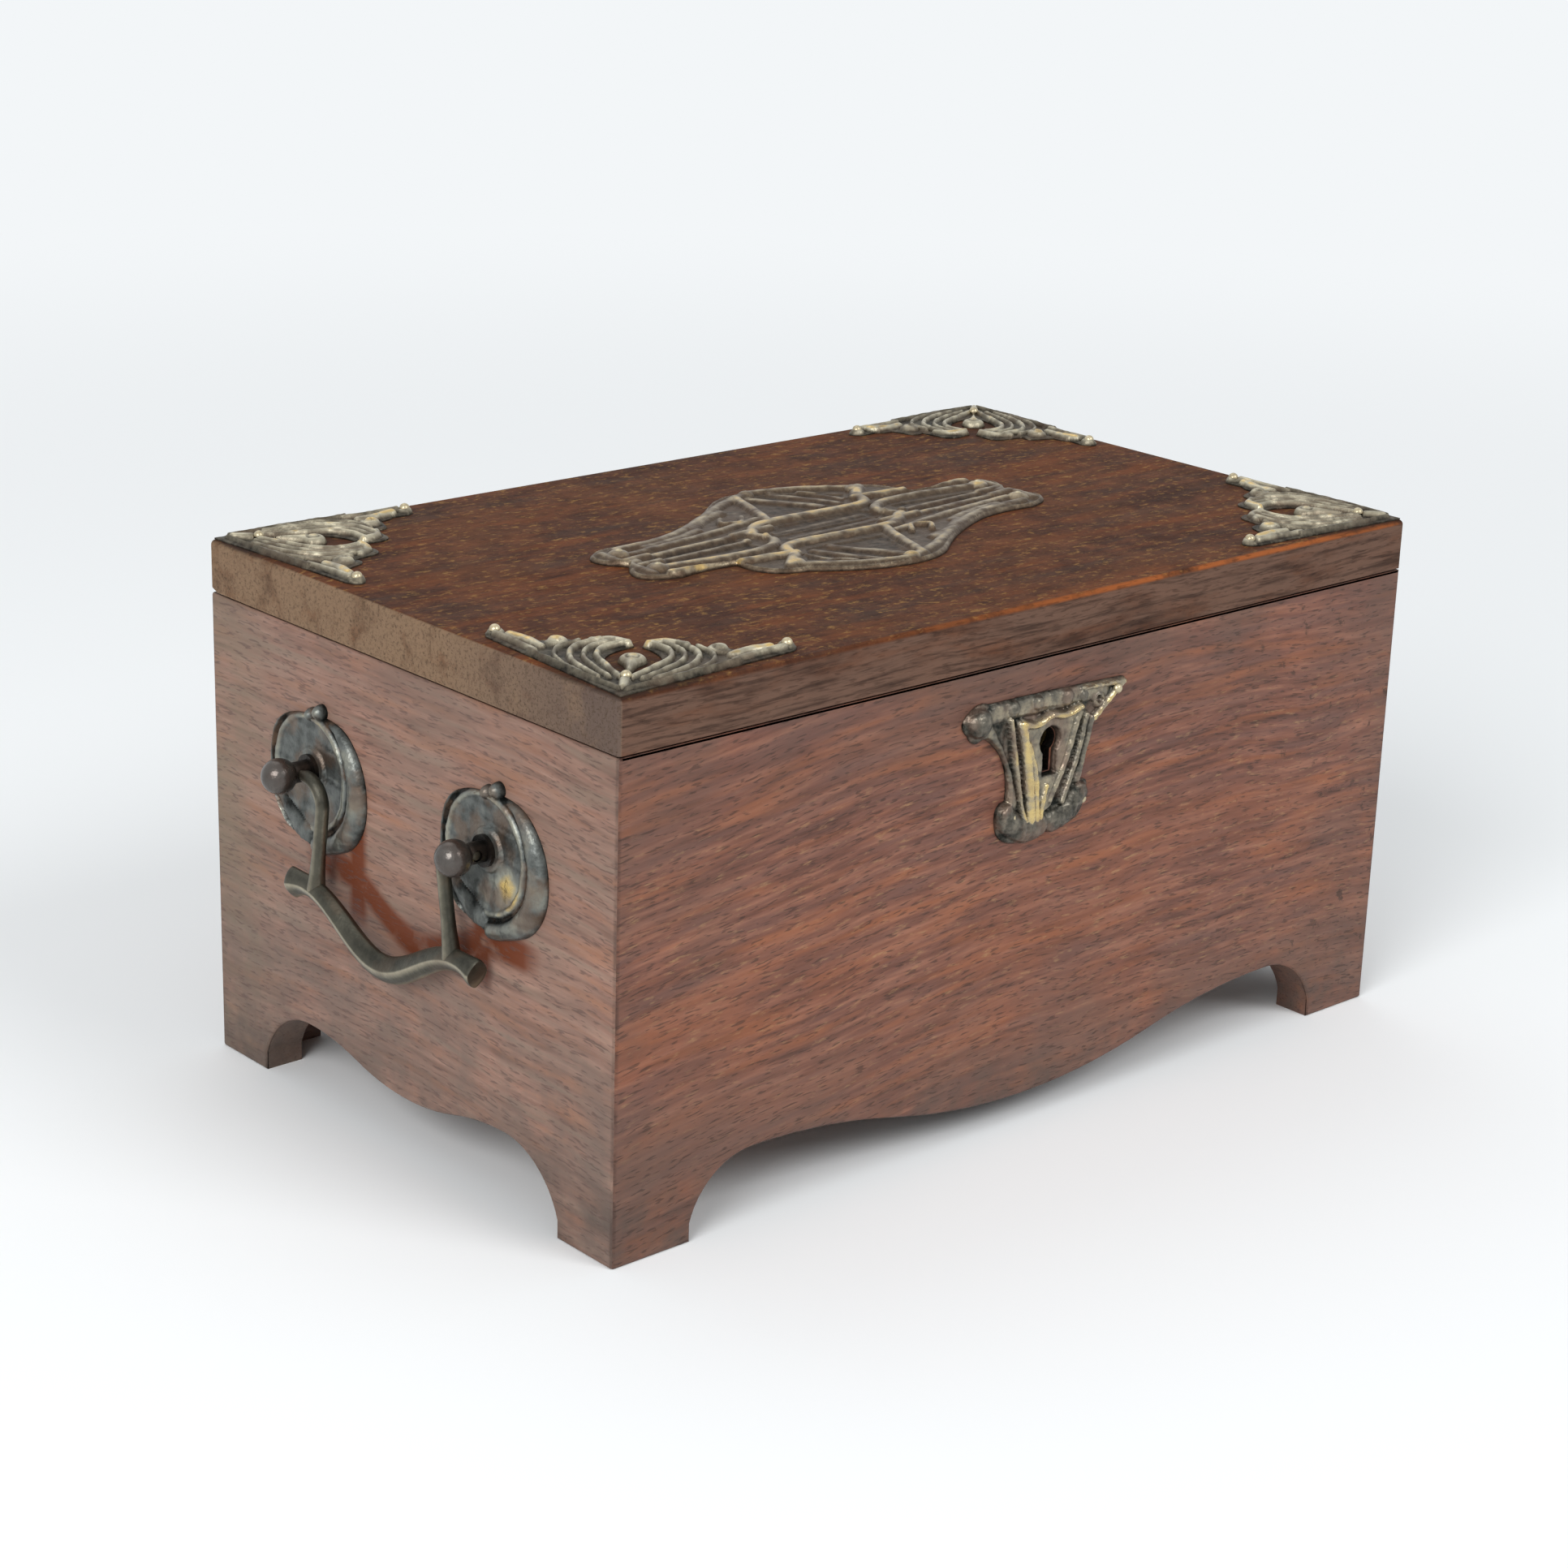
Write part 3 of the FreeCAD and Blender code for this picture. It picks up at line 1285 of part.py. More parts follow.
def centre_mount():
    """An openwork lozenge of straps round a plain field, with forked ends and long slots."""
    body = new_body("centre_mount")

    def spots(shares):
        return [(centre_half * item[0], centre_wide * item[1]) + tuple(item[2:]) for item in shares]

    edge = new_sketch(body, "edge")
    half = spots(CENTRE_EDGE)
    outline(edge, half + half_turned(half))
    pad(body, edge, centre)
    field = spots(CENTRE_FIELD)
    field += half_turned(field)
    holes = new_sketch(body, "openings")
    outline(holes, field)
    for shares in (CENTRE_WINDOW, CENTRE_SLOT):
        opening = spots(shares)
        outline(holes, opening)
        outline(holes, half_turned(opening))
    pocket(body, holes, symmetric=True)
    frame = new_sketch(body, "field_frame", offset=centre)
    wider_x = 1 + field_rim / (centre_half * CENTRE_FIELD[0][0])
    wider_y = 1 + field_rim / (centre_wide * CENTRE_FIELD[1][1])
    outline(frame, field)
    outline(frame, [(x * wider_x, y * wider_y) for x, y in field])
    pad(body, frame, centre_relief)
    for number, shares in enumerate(CENTRE_RIBS):
        line = spots(shares)
        for name, points in (("rib", line), ("turned_rib", half_turned(line))):
            rib = new_sketch(body, f"{name}_{number}", offset=centre)
            outline(rib, points)
            pad(body, rib, centre_relief)
    bores = new_sketch(body, "pin_bores")
    for x, y in centre_pins:
        circle(bores, x, y, pin_shank + mount_pin_fit)
    pocket(body, bores, symmetric=True)
    place(body, 0, 0, lid_top)
    return body


def mount_pins():
    pins = [round_pin(f"mount_pin_{number}", x, y, lid_top + thickness, LEVEL, thickness + pin_length)
            for number, (x, y, thickness) in enumerate(lid_pin_spots())]
    return set_of("mount_pins", pins)


pieces = [
    front_board(),
    back_board(),
    end_board("left_end_board", -half_length, LEFT),
    end_board("right_end_board", half_length, RIGHT),
    floor_board(),
    lid_board(),
    lock_plate(),
    lock_cover(),
    lock_bolt(),
    key_post(),
    bolt_studs(),
    lock_screws(),
    link_plate(),
    link_screws(),
    escutcheon(),
    escutcheon_pins(),
    centre_mount(),
]
pieces += [corner_mount(f"corner_mount_{name}", x, y, quarters) for name, x, y, quarters in corner_spots]
pieces.append(mount_pins())
for name, side in (("left", -1), ("right", 1)):
    pieces.append(hinge_leaf(f"hinge_{name}_case_leaf", side, False))
    pieces.append(hinge_leaf(f"hinge_{name}_lid_leaf", side, True))
    pieces.append(hinge_rod(f"hinge_{name}_pin", side))
pieces.append(hinge_screws("hinge_case_screws", False))
pieces.append(hinge_screws("hinge_lid_screws", True))
for name, side, turn in (("left", -1, LEFT), ("right", 1, RIGHT)):
    end_face = half_length * side
    for place_name, across in (("front", -1), ("back", 1)):
        pieces.append(back_plate(f"{name}_plate_{place_name}", end_face, post_half * across, turn))
        pieces.append(handle_post(f"{name}_post_{place_name}", end_face, post_half * across, turn))
    pieces.append(handle_nuts(f"{name}_nuts", end_face, turn, side))
    pieces.append(bail(f"{name}_bail", end_face + bail_stand * side, turn))

document.recompute()
for item in document.Objects:
    if "Invalid" in item.State or "Error" in item.State:
        raise RuntimeError(f"{item.Label}: {item.State}")

os.makedirs("parts", exist_ok=True)
for piece in pieces:
    if piece.Shape.isNull() or not piece.Shape.isValid() or not piece.Shape.Solids:
        raise RuntimeError(f"{piece.Label} has no valid solid")
    piece.Shape.exportStep(f"parts/{piece.Label}.step")
    print(piece.Label, len(piece.Shape.Solids), round(piece.Shape.Volume, 1))
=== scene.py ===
"""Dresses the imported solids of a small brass-mounted box.

The boards get worn edges and grain, the mounts and plates their pressed and cast relief, and the bails their
drawn sections. Every piece is worked out in millimetres in the part's own frame and written in metres.
"""
import logging
import math
from collections.abc import Callable, Iterable, Sequence
from dataclasses import dataclass
from enum import Enum

import bmesh
import bpy
import numpy as np
from mathutils import Matrix, Vector


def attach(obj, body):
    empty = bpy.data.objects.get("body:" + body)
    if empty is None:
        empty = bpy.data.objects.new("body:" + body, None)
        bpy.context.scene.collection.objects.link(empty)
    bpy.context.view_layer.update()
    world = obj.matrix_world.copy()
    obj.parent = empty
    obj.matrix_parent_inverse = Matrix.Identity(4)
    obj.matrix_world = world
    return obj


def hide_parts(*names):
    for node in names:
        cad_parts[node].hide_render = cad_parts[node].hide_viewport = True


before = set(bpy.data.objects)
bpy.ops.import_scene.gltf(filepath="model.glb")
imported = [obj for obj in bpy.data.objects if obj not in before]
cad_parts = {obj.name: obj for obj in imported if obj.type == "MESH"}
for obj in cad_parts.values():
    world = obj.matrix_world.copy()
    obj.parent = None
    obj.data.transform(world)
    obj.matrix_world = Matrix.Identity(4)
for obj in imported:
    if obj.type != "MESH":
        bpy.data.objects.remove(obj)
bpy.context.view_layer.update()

log = logging.getLogger("brass_mounted_box")

MM = 0.001
PER_MM = 1000.0
FULL_TURN = 2 * math.pi
NEAR_ZERO = 1e-9
# The box's outside in millimetres.
HALF_LENGTH, HALF_DEPTH, CASE_TOP, LID_TOP = 117.0, 71.5, 108.0, 120.0
# How near points are that count as one, in metres, and how near a point is that lies on a cut.
WELD, SLIVER, ON_CUT = 2e-6, 1e-6, 1e-7
# The angles past which a casting and a board have a crease, and under which a board's faces are one.
CAST_CREASE, BOARD_CREASE, ONE_FACE = (math.radians(angle) for angle in (60.0, 35.0, 0.5))
# The name of the attribute that holds how bare a casting is rubbed.
RUB = "rub"
# A Mix node's sockets: its share, two numbers, two colours, and the mixed colour.
MIX_SHARE, FIRST_NUMBER, SECOND_NUMBER, FIRST_COLOUR, SECOND_COLOUR, MIXED_COLOUR = 0, 2, 3, 6, 7, 2
# A bar's bareness falls off its ridges by this power, and its upper side keeps this share.
RIDGE_FALL, UPPER_FROM, UPPER_SHARE = 4, 0.1, 0.3

Array = np.ndarray
Point = Sizes = tuple[float, ...]
Pair = tuple[float, float]
Triple = tuple[float, float, float]
Colour = tuple[float, float, float, float]
Tree = bpy.types.NodeTree
Socket = bpy.types.NodeSocket
Material = bpy.types.Material
Height = Callable[[Array, Array], tuple[Array, Array]]


# Curves


def bowed(corners: Sequence[Point], closed: bool = True, steps: int = 10) -> Array:
    """Draws an outline of straight and bowed sides.

    A corner of three numbers starts a bowed side. Its points stand off the chord by 4 t (1 - t) times the bow
    times the chord's length, to the left of the way it is drawn.

    Args:
        corners: (x, y) or (x, y, bow) in millimetres.
        closed: Whether the last corner joins the first.
        steps: Points on each side.

    Returns:
        The points, one row each.
    """
    share = np.linspace(0.0, 1.0, steps, endpoint=False)[:, None]
    following = list(corners[1:]) + ([corners[0]] if closed else [])
    sides = []
    for corner, target in zip(corners, following):
        start, end = np.array(corner[:2]), np.array(target[:2])
        bow = corner[2] if len(corner) > 2 else 0.0
        left = np.array([start[1] - end[1], end[0] - start[0]])
        sides.append(start + share * (end - start) + 4 * share * (1 - share) * bow * left)
    if not closed:
        sides.append(np.array([corners[-1][:2]], float))
    return np.concatenate(sides)


def flowing(knots: Sequence[Point], steps: int = 8) -> Array:
    """Draws a spline through knots, whose slope at a knot is half the step between its neighbours.

    Args:
        knots: Points the line goes through.
        steps: Points between two knots.

    Returns:
        The points, one row each.
    """
    points = np.array(knots, float)
    padded = np.concatenate([2 * points[:1] - points[1:2], points, 2 * points[-1:] - points[-2:-1]])
    before, start, end, after = (padded[at:len(padded) - 3 + at, None, :] for at in range(4))
    t = np.linspace(0.0, 1.0, steps, endpoint=False)[None, :, None]
    line = 0.5 * (2 * start + (end - before) * t + (2 * before - 5 * start + 4 * end - after) * t ** 2
                  + (3 * start - before - 3 * end + after) * t ** 3)
    return np.concatenate([line.reshape(-1, points.shape[1]), points[-1:]])


def ringed(loop: Array) -> Array:
    """Closes an outline with its first point."""
    return np.concatenate([loop, loop[:1]])


def nearest_on(path: Array, spots: Array) -> tuple[Array, Array, Array]:
    """Finds the point of a line nearest to each spot.

    Each side of the line is tried on all spots at once: the foot of the perpendicular, held between the
    side's ends, replaces the best so far wherever it is nearer.

    Args:
        path: Points of the line.
        spots: Points to measure from.

    Returns:
        Distances, nearest points, and how far along the line they are, from 0 to 1.
    """
    best = np.full(len(spots), np.inf)
    foot = np.zeros_like(spots)
    passed = np.zeros(len(spots))
    for number, (start, end) in enumerate(zip(path[:-1], path[1:])):
        side = end - start
        share = np.clip((spots - start) @ side / max(side @ side, NEAR_ZERO), 0.0, 1.0)
        point = start + share[:, None] * side
        gap = np.hypot(*(spots - point).T)
        nearer = gap < best
        best = np.where(nearer, gap, best)
        foot = np.where(nearer[:, None], point, foot)
        passed = np.where(nearer, (number + share) / (len(path) - 1), passed)
    return best, foot, passed


def is_inside(loop: Array, spots: Array) -> Array:
    """Tells which spots an outline holds, by counting the sides that a level line from each spot crosses.

    Args:
        loop: Corners of the outline.
        spots: Points to test.

    Returns:
        True for each spot inside.
    """
    x, y = spots.T
    crossed = np.zeros(len(spots), int)
    for (x0, y0), (x1, y1) in zip(loop, np.roll(loop, -1, axis=0)):
        if y0 != y1:
            spans = (y0 > y) != (y1 > y)
            crossed += spans & (x < x0 + (y - y0) * (x1 - x0) / (y1 - y0))
    return crossed % 2 == 1


# Relief


def eased(share: Array) -> Array:
    """Smooth step from 0 to 1: 3 s squared minus 2 s cubed, held at both ends."""
    held = np.clip(share, 0.0, 1.0)
    return held * held * (3 - 2 * held)


def rolled(edge: Array, width: float, left: float) -> Array:
    """Share of a height near a cut edge: eased over the width from what is left at the edge to 1."""
    return left + (1 - left) * eased(edge / width)


def half_round(share: Array) -> Array:
    """Height of a half circle at a share of its radius: the root of 1 minus the share squared."""
    return np.sqrt(np.clip(1 - share ** 2, 0.0, 1.0))


def soft_line(distance: Array, width: float) -> Array:
    """A line that fades to both sides: e to the minus square of distance over width."""
    return np.exp(-(distance / width) ** 2)


def field(spots: Array, corners: Sequence[Point], slope: float) -> Array:
    """A field inside an outline: 1 within, eased to 0 over the slope's width at its edge."""
    loop = bowed(corners)
    return is_inside(loop, spots) * eased(nearest_on(ringed(loop), spots)[0] / slope)


def ridge(spots: Array, knots: Sequence[Point], half_width: float, height: float,
          taper: Pair = (1.0, 1.0)) -> Array:
    """Height of a half-round bead along a spline: height times the half circle of distance over half width.

    Args:
        spots: Points to raise.
        knots: Knots of the bead's middle line.
        half_width: Half the bead's width.
        height: The bead's height.
        taper: Share of width and height at its start and end.

    Returns:
        Height at each spot.
    """
    distance, _, passed = nearest_on(flowing(knots), spots)
    share = taper[0] + (taper[1] - taper[0]) * passed
    return height * share * half_round(distance / (half_width * share))


def boss(spots: Array, x: float, y: float, radius: float, height: float) -> Array:
    """Height of a round-topped boss: height times the half circle of distance over radius."""
    return height * half_round(np.hypot(spots[:, 0] - x, spots[:, 1] - y) / radius)


def uneven(spots: Array, size: float) -> Array:
    """A cast skin's unevenness from -1 to 1, size long.

    It is the mean of three sines along turned axes, each bent by a slower sine of another.

    Args:
        spots: Points on the skin.
        size: Length of a wave.

    Returns:
        Unevenness at each spot.
    """
    turns = np.array([0.3, 1.5, 2.6])
    stretches = np.array([1.0, 1.31, 0.77])
    bend, slower = 2.0, 0.53
    waves = spots @ np.stack([np.cos(turns), np.sin(turns)]) * (FULL_TURN / size) * stretches
    return np.sin(waves + bend * np.sin(slower * waves[:, ::-1])).mean(axis=1)


@dataclass
class Relief:
    """Height and bareness at each spot of a sheet that forms are laid on."""

    height: Array
    bare: Array

    def lay(self, height: Array, bare: Array) -> None:
        """Lays a form on, which shows where it stands higher than what is there."""
        self.bare = np.where(height > self.height, bare, self.bare)
        self.height = np.maximum(self.height, height)


@dataclass(frozen=True)
class SheetMetal:
    """A brass sheet's thickness, rolled edge, uneven skin and wear.

    Left are the shares of the sheet and of its relief at the very edge. Ground is the bareness of the flat
    sheet, and wear the mean and the swing of what hands have left bare on the relief.
    """

    thick: float
    roll: float
    left: Pair
    skin_size: float
    skin_depth: float
    ground: float
    wear: Pair
    wear_size: float

    def height(self, relief: Relief, spots: Array, edge: Array) -> Array:
        """Height of the sheet and its relief, both rolled down towards the edge, and of the skin.

        Args:
            relief: What is raised on the sheet.
            spots: Points on the sheet.
            edge: Their distance from its edge.

        Returns:
            Height at each spot.
        """
        sheet = self.thick * rolled(edge, self.roll, self.left[0])
        raised = relief.height * rolled(edge, self.roll, self.left[1])
        skin = self.skin_depth * uneven(spots, self.skin_size)
        return sheet + raised + skin * rolled(edge, self.roll, 0.0)

    def bare(self, relief: Relief, spots: Array) -> Array:
        """Bareness: the ground's, and the relief's times the mean and swing of a wave."""
        mean, swing = self.wear
        return self.ground + relief.bare * (mean + swing * uneven(spots, self.wear_size))


# Surfaces


@dataclass(frozen=True)
class Face:
    """A flat face that carries brass: a point on it, and its directions along and up as seen from outside."""

    origin: Triple
    along: Triple
    up: Triple

    def place(self, spots: Array, heights: Array) -> Array:
        """Carries drawn spots into the box's frame: along and up the face, and out by their heights.

        Args:
            spots: Points drawn on the face.
            heights: Their heights above it.

        Returns:
            The points in the box's frame.
        """
        along, up = np.array(self.along, float), np.array(self.up, float)
        out = np.cross(along, up)
        return np.array(self.origin) + spots[:, :1] * along + spots[:, 1:2] * up + heights[:, None] * out


@dataclass
class Shell:
    """A closed surface: vertices in millimetres, faces, and how bare each vertex is, from 0 to 1."""

    vertices: Array
    faces: list[list[int]]
    rub: Array

    def __add__(self, other: "Shell") -> "Shell":
        """Puts two surfaces into one piece.

        Args:
            other: The surface to add.

        Returns:
            Both as one.
        """
        first = len(self.vertices)
        shifted = [[first + corner for corner in face] for face in other.faces]
        return Shell(np.concatenate([self.vertices, other.vertices]), self.faces + shifted,
                     np.concatenate([self.rub, other.rub]))


def capped(rings: Array, rub: Array) -> Shell:
    """Joins a stack of rings by four-sided faces and closes it with a flat face at each end.

    Args:
        rings: Points as (ring, around, xyz).
        rub: Bareness as (ring, around).

    Returns:
        The closed surface.
    """
    count, around = rings.shape[:2]
    ring, point = np.meshgrid(np.arange(count - 1) * around, np.arange(around), indexing="ij")
    beside = (point + 1) % around
    corners = [ring + point, ring + beside, ring + around + beside, ring + around + point]
    faces = np.stack(corners, axis=-1).reshape(-1, 4).tolist()
    faces.append(list(range(around))[::-1])
    faces.append(list(range((count - 1) * around, count * around)))
    return Shell(rings.reshape(-1, 3), faces, rub.reshape(-1))


def turned(face: Face, x: float, y: float, profile: Array, rub: Array, around: int = 24) -> Shell:
    """Turns a profile round an axis square to a face.

    A point at radius r and height h becomes (x + r cos a, y + r sin a) at height h, for a all round.

    Args:
        face: The face the axis stands on.
        x: Where the axis stands along the face.
        y: Where the axis stands up the face.
        profile: Rows of radius and height, from the foot to the top.
        rub: Bareness of each row.
        around: Points in each ring.

    Returns:
        The closed surface.
    """
    turn = np.linspace(0.0, FULL_TURN, around, endpoint=False)
    radius, height = profile[:, :1], profile[:, 1:]
    spots = np.stack([x + radius * np.cos(turn), y + radius * np.sin(turn)], axis=-1)
    heights = np.broadcast_to(height, spots.shape[:2])
    placed = face.place(spots.reshape(-1, 2), heights.reshape(-1)).reshape(*spots.shape[:2], 3)
    return capped(placed, np.broadcast_to(rub[:, None], spots.shape[:2]))


def drawn_bar(path: Array, side: Array, wide: Array, deep: Array, sharp: float, rub: float,
              around: int = 20) -> Shell:
    """Carries a rounded section along a line that lies in one plane.

    At angle a the section reaches wide |cos a| ^ sharp in the plane and deep |sin a| ^ sharp square to it,
    with their signs; sharp is 1 for an ellipse and more for a section with ridges. Its bareness falls off the
    ridges by a power, and the upper side, which hands don't reach, keeps a share of it.

    Args:
        path: Points of the middle line.
        side: Unit vector square to the line's plane.
        wide: Half width in the plane at each point.
        deep: Half depth square to the plane at each point.
        sharp: Power of the section's curve.
        rub: Bareness of the ridges.
        around: Points in each section.

    Returns:
        The closed surface.
    """
    across = np.cross(side, np.gradient(path, axis=0))
    across /= np.linalg.norm(across, axis=1, keepdims=True)
    turn = np.linspace(0.0, FULL_TURN, around, endpoint=False)
    reach, lift = (np.sign(part) * np.abs(part) ** sharp for part in (np.cos(turn), np.sin(turn)))
    rings = path[:, None] + (wide[:, None] * reach)[..., None] * across[:, None]
    rings = rings + (deep[:, None] * lift)[..., None] * side
    above = across[:, None, 2] * reach > UPPER_FROM
    bare = rub * np.maximum(np.abs(reach), np.abs(lift)) ** RIDGE_FALL * np.where(above, UPPER_SHARE, 1.0)
    return capped(rings, bare)


@dataclass
class Sheet:
    """A sheet cut to an outline with openings, raised by a height function over a square grid.

    Grid cells whose middle is inside are kept, and the corners on the cut edge are drawn onto the outline.
    """

    outline: Array
    openings: Sequence[Array]
    pitch: float

    def cut(self) -> tuple[Array, Array, Array, Array]:
        """Cuts the grid.

        Returns:
            Spots, four-sided faces, sides of the cut edge, and each spot's distance from the edge.
        """
        low = self.outline.min(axis=0) - self.pitch
        columns, rows = np.ceil((self.outline.max(axis=0) - low) / self.pitch).astype(int) + 1
        x = low[0] + np.arange(columns + 1) * self.pitch
        y = low[1] + np.arange(rows + 1) * self.pitch
        grid = np.stack(np.meshgrid(x, y), axis=-1)
        middles = (grid[:-1, :-1] + self.pitch / 2).reshape(-1, 2)
        kept = is_inside(self.outline, middles)
        for opening in self.openings:
            kept &= ~is_inside(opening, middles)
        kept = kept.reshape(rows, columns)
        # A spot is on the sheet if any of the four cells round it is kept, and on its edge unless all are.
        margin = np.pad(kept, 1).astype(int)
        touching = margin[:-1, :-1] + margin[:-1, 1:] + margin[1:, :-1] + margin[1:, 1:]
        number = np.cumsum((touching > 0).reshape(-1)).reshape(touching.shape) - 1
        spots = grid[touching > 0]
        corners = (number[:-1, :-1], number[:-1, 1:], number[1:, 1:], number[1:, :-1])
        faces = np.stack([corner[kept] for corner in corners], axis=1)
        beyond = (margin[:-2, 1:-1], margin[1:-1, 2:], margin[2:, 1:-1], margin[1:-1, :-2])
        sides = [np.stack([corners[at][bare], corners[(at + 1) % 4][bare]], axis=1)
                 for at, bare in enumerate(kept & (outside == 0) for outside in beyond)]
        distance = np.full(len(spots), np.inf)
        foot = spots.copy()
        for loop in (self.outline, *self.openings):
            gap, point, _ = nearest_on(ringed(loop), spots)
            foot = np.where((gap < distance)[:, None], point, foot)
            distance = np.minimum(distance, gap)
        on_edge = touching[touching > 0] < 4
        spots = np.where(on_edge[:, None], foot, spots)
        return spots, faces, np.concatenate(sides), np.where(on_edge, 0.0, distance)

    def raised(self, face: Face, height: Height) -> Shell:
        """Raises the cut sheet above a face and closes it with a wall and a back.

        Args:
            face: The face it lies on.
            height: Gives height and bareness from the spots and their distance from the edge.

        Returns:
            The closed surface.
        """
        spots, faces, sides, distance = self.cut()
        heights, rub = height(spots, distance)
        vertices = np.concatenate([face.place(spots, heights), face.place(spots, np.zeros(len(spots)))])
        below = len(spots)
        walls = np.stack([sides[:, 0] + below, sides[:, 1] + below, sides[:, 1], sides[:, 0]], axis=1)
        every = np.concatenate([faces, faces[:, ::-1] + below, walls])
        return Shell(vertices, every.tolist(), np.concatenate([rub, np.zeros(below)]))


# Pieces


def link(name: str, data: bpy.types.ID) -> bpy.types.Object:
    """Puts an object with its data into the scene, at the origin.

    Args:
        name: The object's name.
        data: Its mesh, lamp or camera.

    Returns:
        The object.
    """
    thing = bpy.data.objects.new(name, data)
    bpy.context.scene.collection.objects.link(thing)
    return thing


def join(piece: bpy.types.Object, body: str, node: str) -> None:
    """Makes an object a piece of the box.

    Args:
        piece: The object.
        body: The body it moves with.
        node: The CAD node it stands for.
    """
    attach(piece, body)
    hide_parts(node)
    log.info("%s: %d faces on %s", piece.name, len(piece.data.polygons), body)


def add_piece(name: str, shell: Shell, material: Material, body: str, node: str) -> None:
    """Makes a surface a piece of the box.

    Args:
        name: The piece's name.
        shell: Its surface.
        material: Its finish.
        body: The body it moves with.
        node: The CAD node it stands for.
    """
    mesh = bpy.data.meshes.new(name)
    mesh.from_pydata((shell.vertices * MM).tolist(), [], shell.faces)
    mesh.attributes.new(RUB, "FLOAT", "POINT").data.foreach_set("value", shell.rub.astype(np.float32))
    work = bmesh.new()
    work.from_mesh(mesh)
    bmesh.ops.remove_doubles(work, verts=work.verts, dist=WELD)
    bmesh.ops.dissolve_degenerate(work, edges=work.edges, dist=SLIVER)
    bmesh.ops.recalc_face_normals(work, faces=work.faces)
    work.to_mesh(mesh)
    work.free()
    mesh.materials.append(material)
    mesh.shade_smooth()
    mesh.set_sharp_from_angle(angle=CAST_CREASE)
    join(link(name, mesh), body, node)


def dress(material: Material, *nodes: str) -> None:
    """Gives CAD nodes, whose shapes are right as they are, their finish.

    Args:
        material: The finish.
        nodes: The nodes' names.
    """
    for name in nodes:
        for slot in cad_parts[name].material_slots:
            slot.material = material
        log.info("%s: dressed in %s", name, material.name)


# Finishes


def linear(colour: str) -> Colour:
    """Turns an sRGB hex colour into linear light.

    Args:
        colour: A hash and six digits.

    Returns:
        Red, green and blue, and an alpha of one.
    """
    parts = np.array([int(colour[at:at + 2], 16) for at in (1, 3, 5)]) / 255
    curve = np.where(parts <= 0.04045, parts / 12.92, ((parts + 0.055) / 1.055) ** 2.4)
    return (*curve.tolist(), 1.0)


def fill(tree: Tree, node: bpy.types.Node, inputs: dict | Sequence) -> None:
    """Gives a node's inputs their values and links.

    Args:
        tree: The node tree.
        node: The node.
        inputs: Values or sockets, in the inputs' order or by name or number.
    """
    for name, value in inputs.items() if isinstance(inputs, dict) else enumerate(inputs):
        if isinstance(value, Socket):
            tree.links.new(value, node.inputs[name])
        else:
            node.inputs[name].default_value = value


def add_node(tree: Tree, kind: str, inputs: dict | Sequence = (), out: int | str = 0,
             stops: Iterable[tuple[float, str]] = (), **settings: object) -> Socket:
    """Adds a shader node with its settings, its values and its links.

    Args:
        tree: The node tree.
        kind: The node's type, after the word ShaderNode.
        inputs: Values or sockets, in the inputs' order or by name or number.
        out: The output that is wanted.
        stops: Places and hex colours of a colour ramp, its two ends first.
        settings: Options of the node.

    Returns:
        The node's output.
    """
    node = tree.nodes.new(f"ShaderNode{kind}")
    for name, value in settings.items():
        setattr(node, name, value)
    fill(tree, node, inputs)
    for number, (place, colour) in enumerate(stops):
        ramp = node.color_ramp.elements
        stop = ramp[number] if number < 2 else ramp.new(place)
        stop.position = place
        stop.color = linear(colour)
    return node.outputs[out]


def blank(name: str) -> tuple[Material, Tree]:
    """Makes a material that has only its plain shader.

    Args:
        name: The material's name.

    Returns:
        The material and its node tree.
    """
    material = bpy.data.materials.new(name)
    material.use_nodes = True
    return material, material.node_tree


def in_millimetres(tree: Tree, turn: float = 0.0) -> Socket:
    """Gives the place on the box in millimetres, turned about the upright."""
    spot = add_node(tree, "TexCoord", out="Object")
    return add_node(tree, "Mapping", {"Vector": spot, "Rotation": (0, 0, turn), "Scale": (PER_MM,) * 3})


class Grain(Enum):
    """The way a board's fibres run, as the turn that lays them along the pattern's first axis."""

    ALONG_THE_LENGTH = 0.0
    ALONG_THE_DEPTH = -math.pi / 2


class Axis(Enum):
    """A board's directions: with its grain, through it and up, and the first two from the box's middle."""

    ALONG = 0
    THROUGH = 1
    UP = 2
    ALONG_FROM_MIDDLE = 3
    THROUGH_FROM_MIDDLE = 4


@dataclass(frozen=True)
class Span:
    """A stretch of an axis in millimetres that fades in over rise and out over fall."""

    axis: Axis
    rise: Pair = (-500.0, -499.0)
    fall: Pair = (499.0, 500.0)


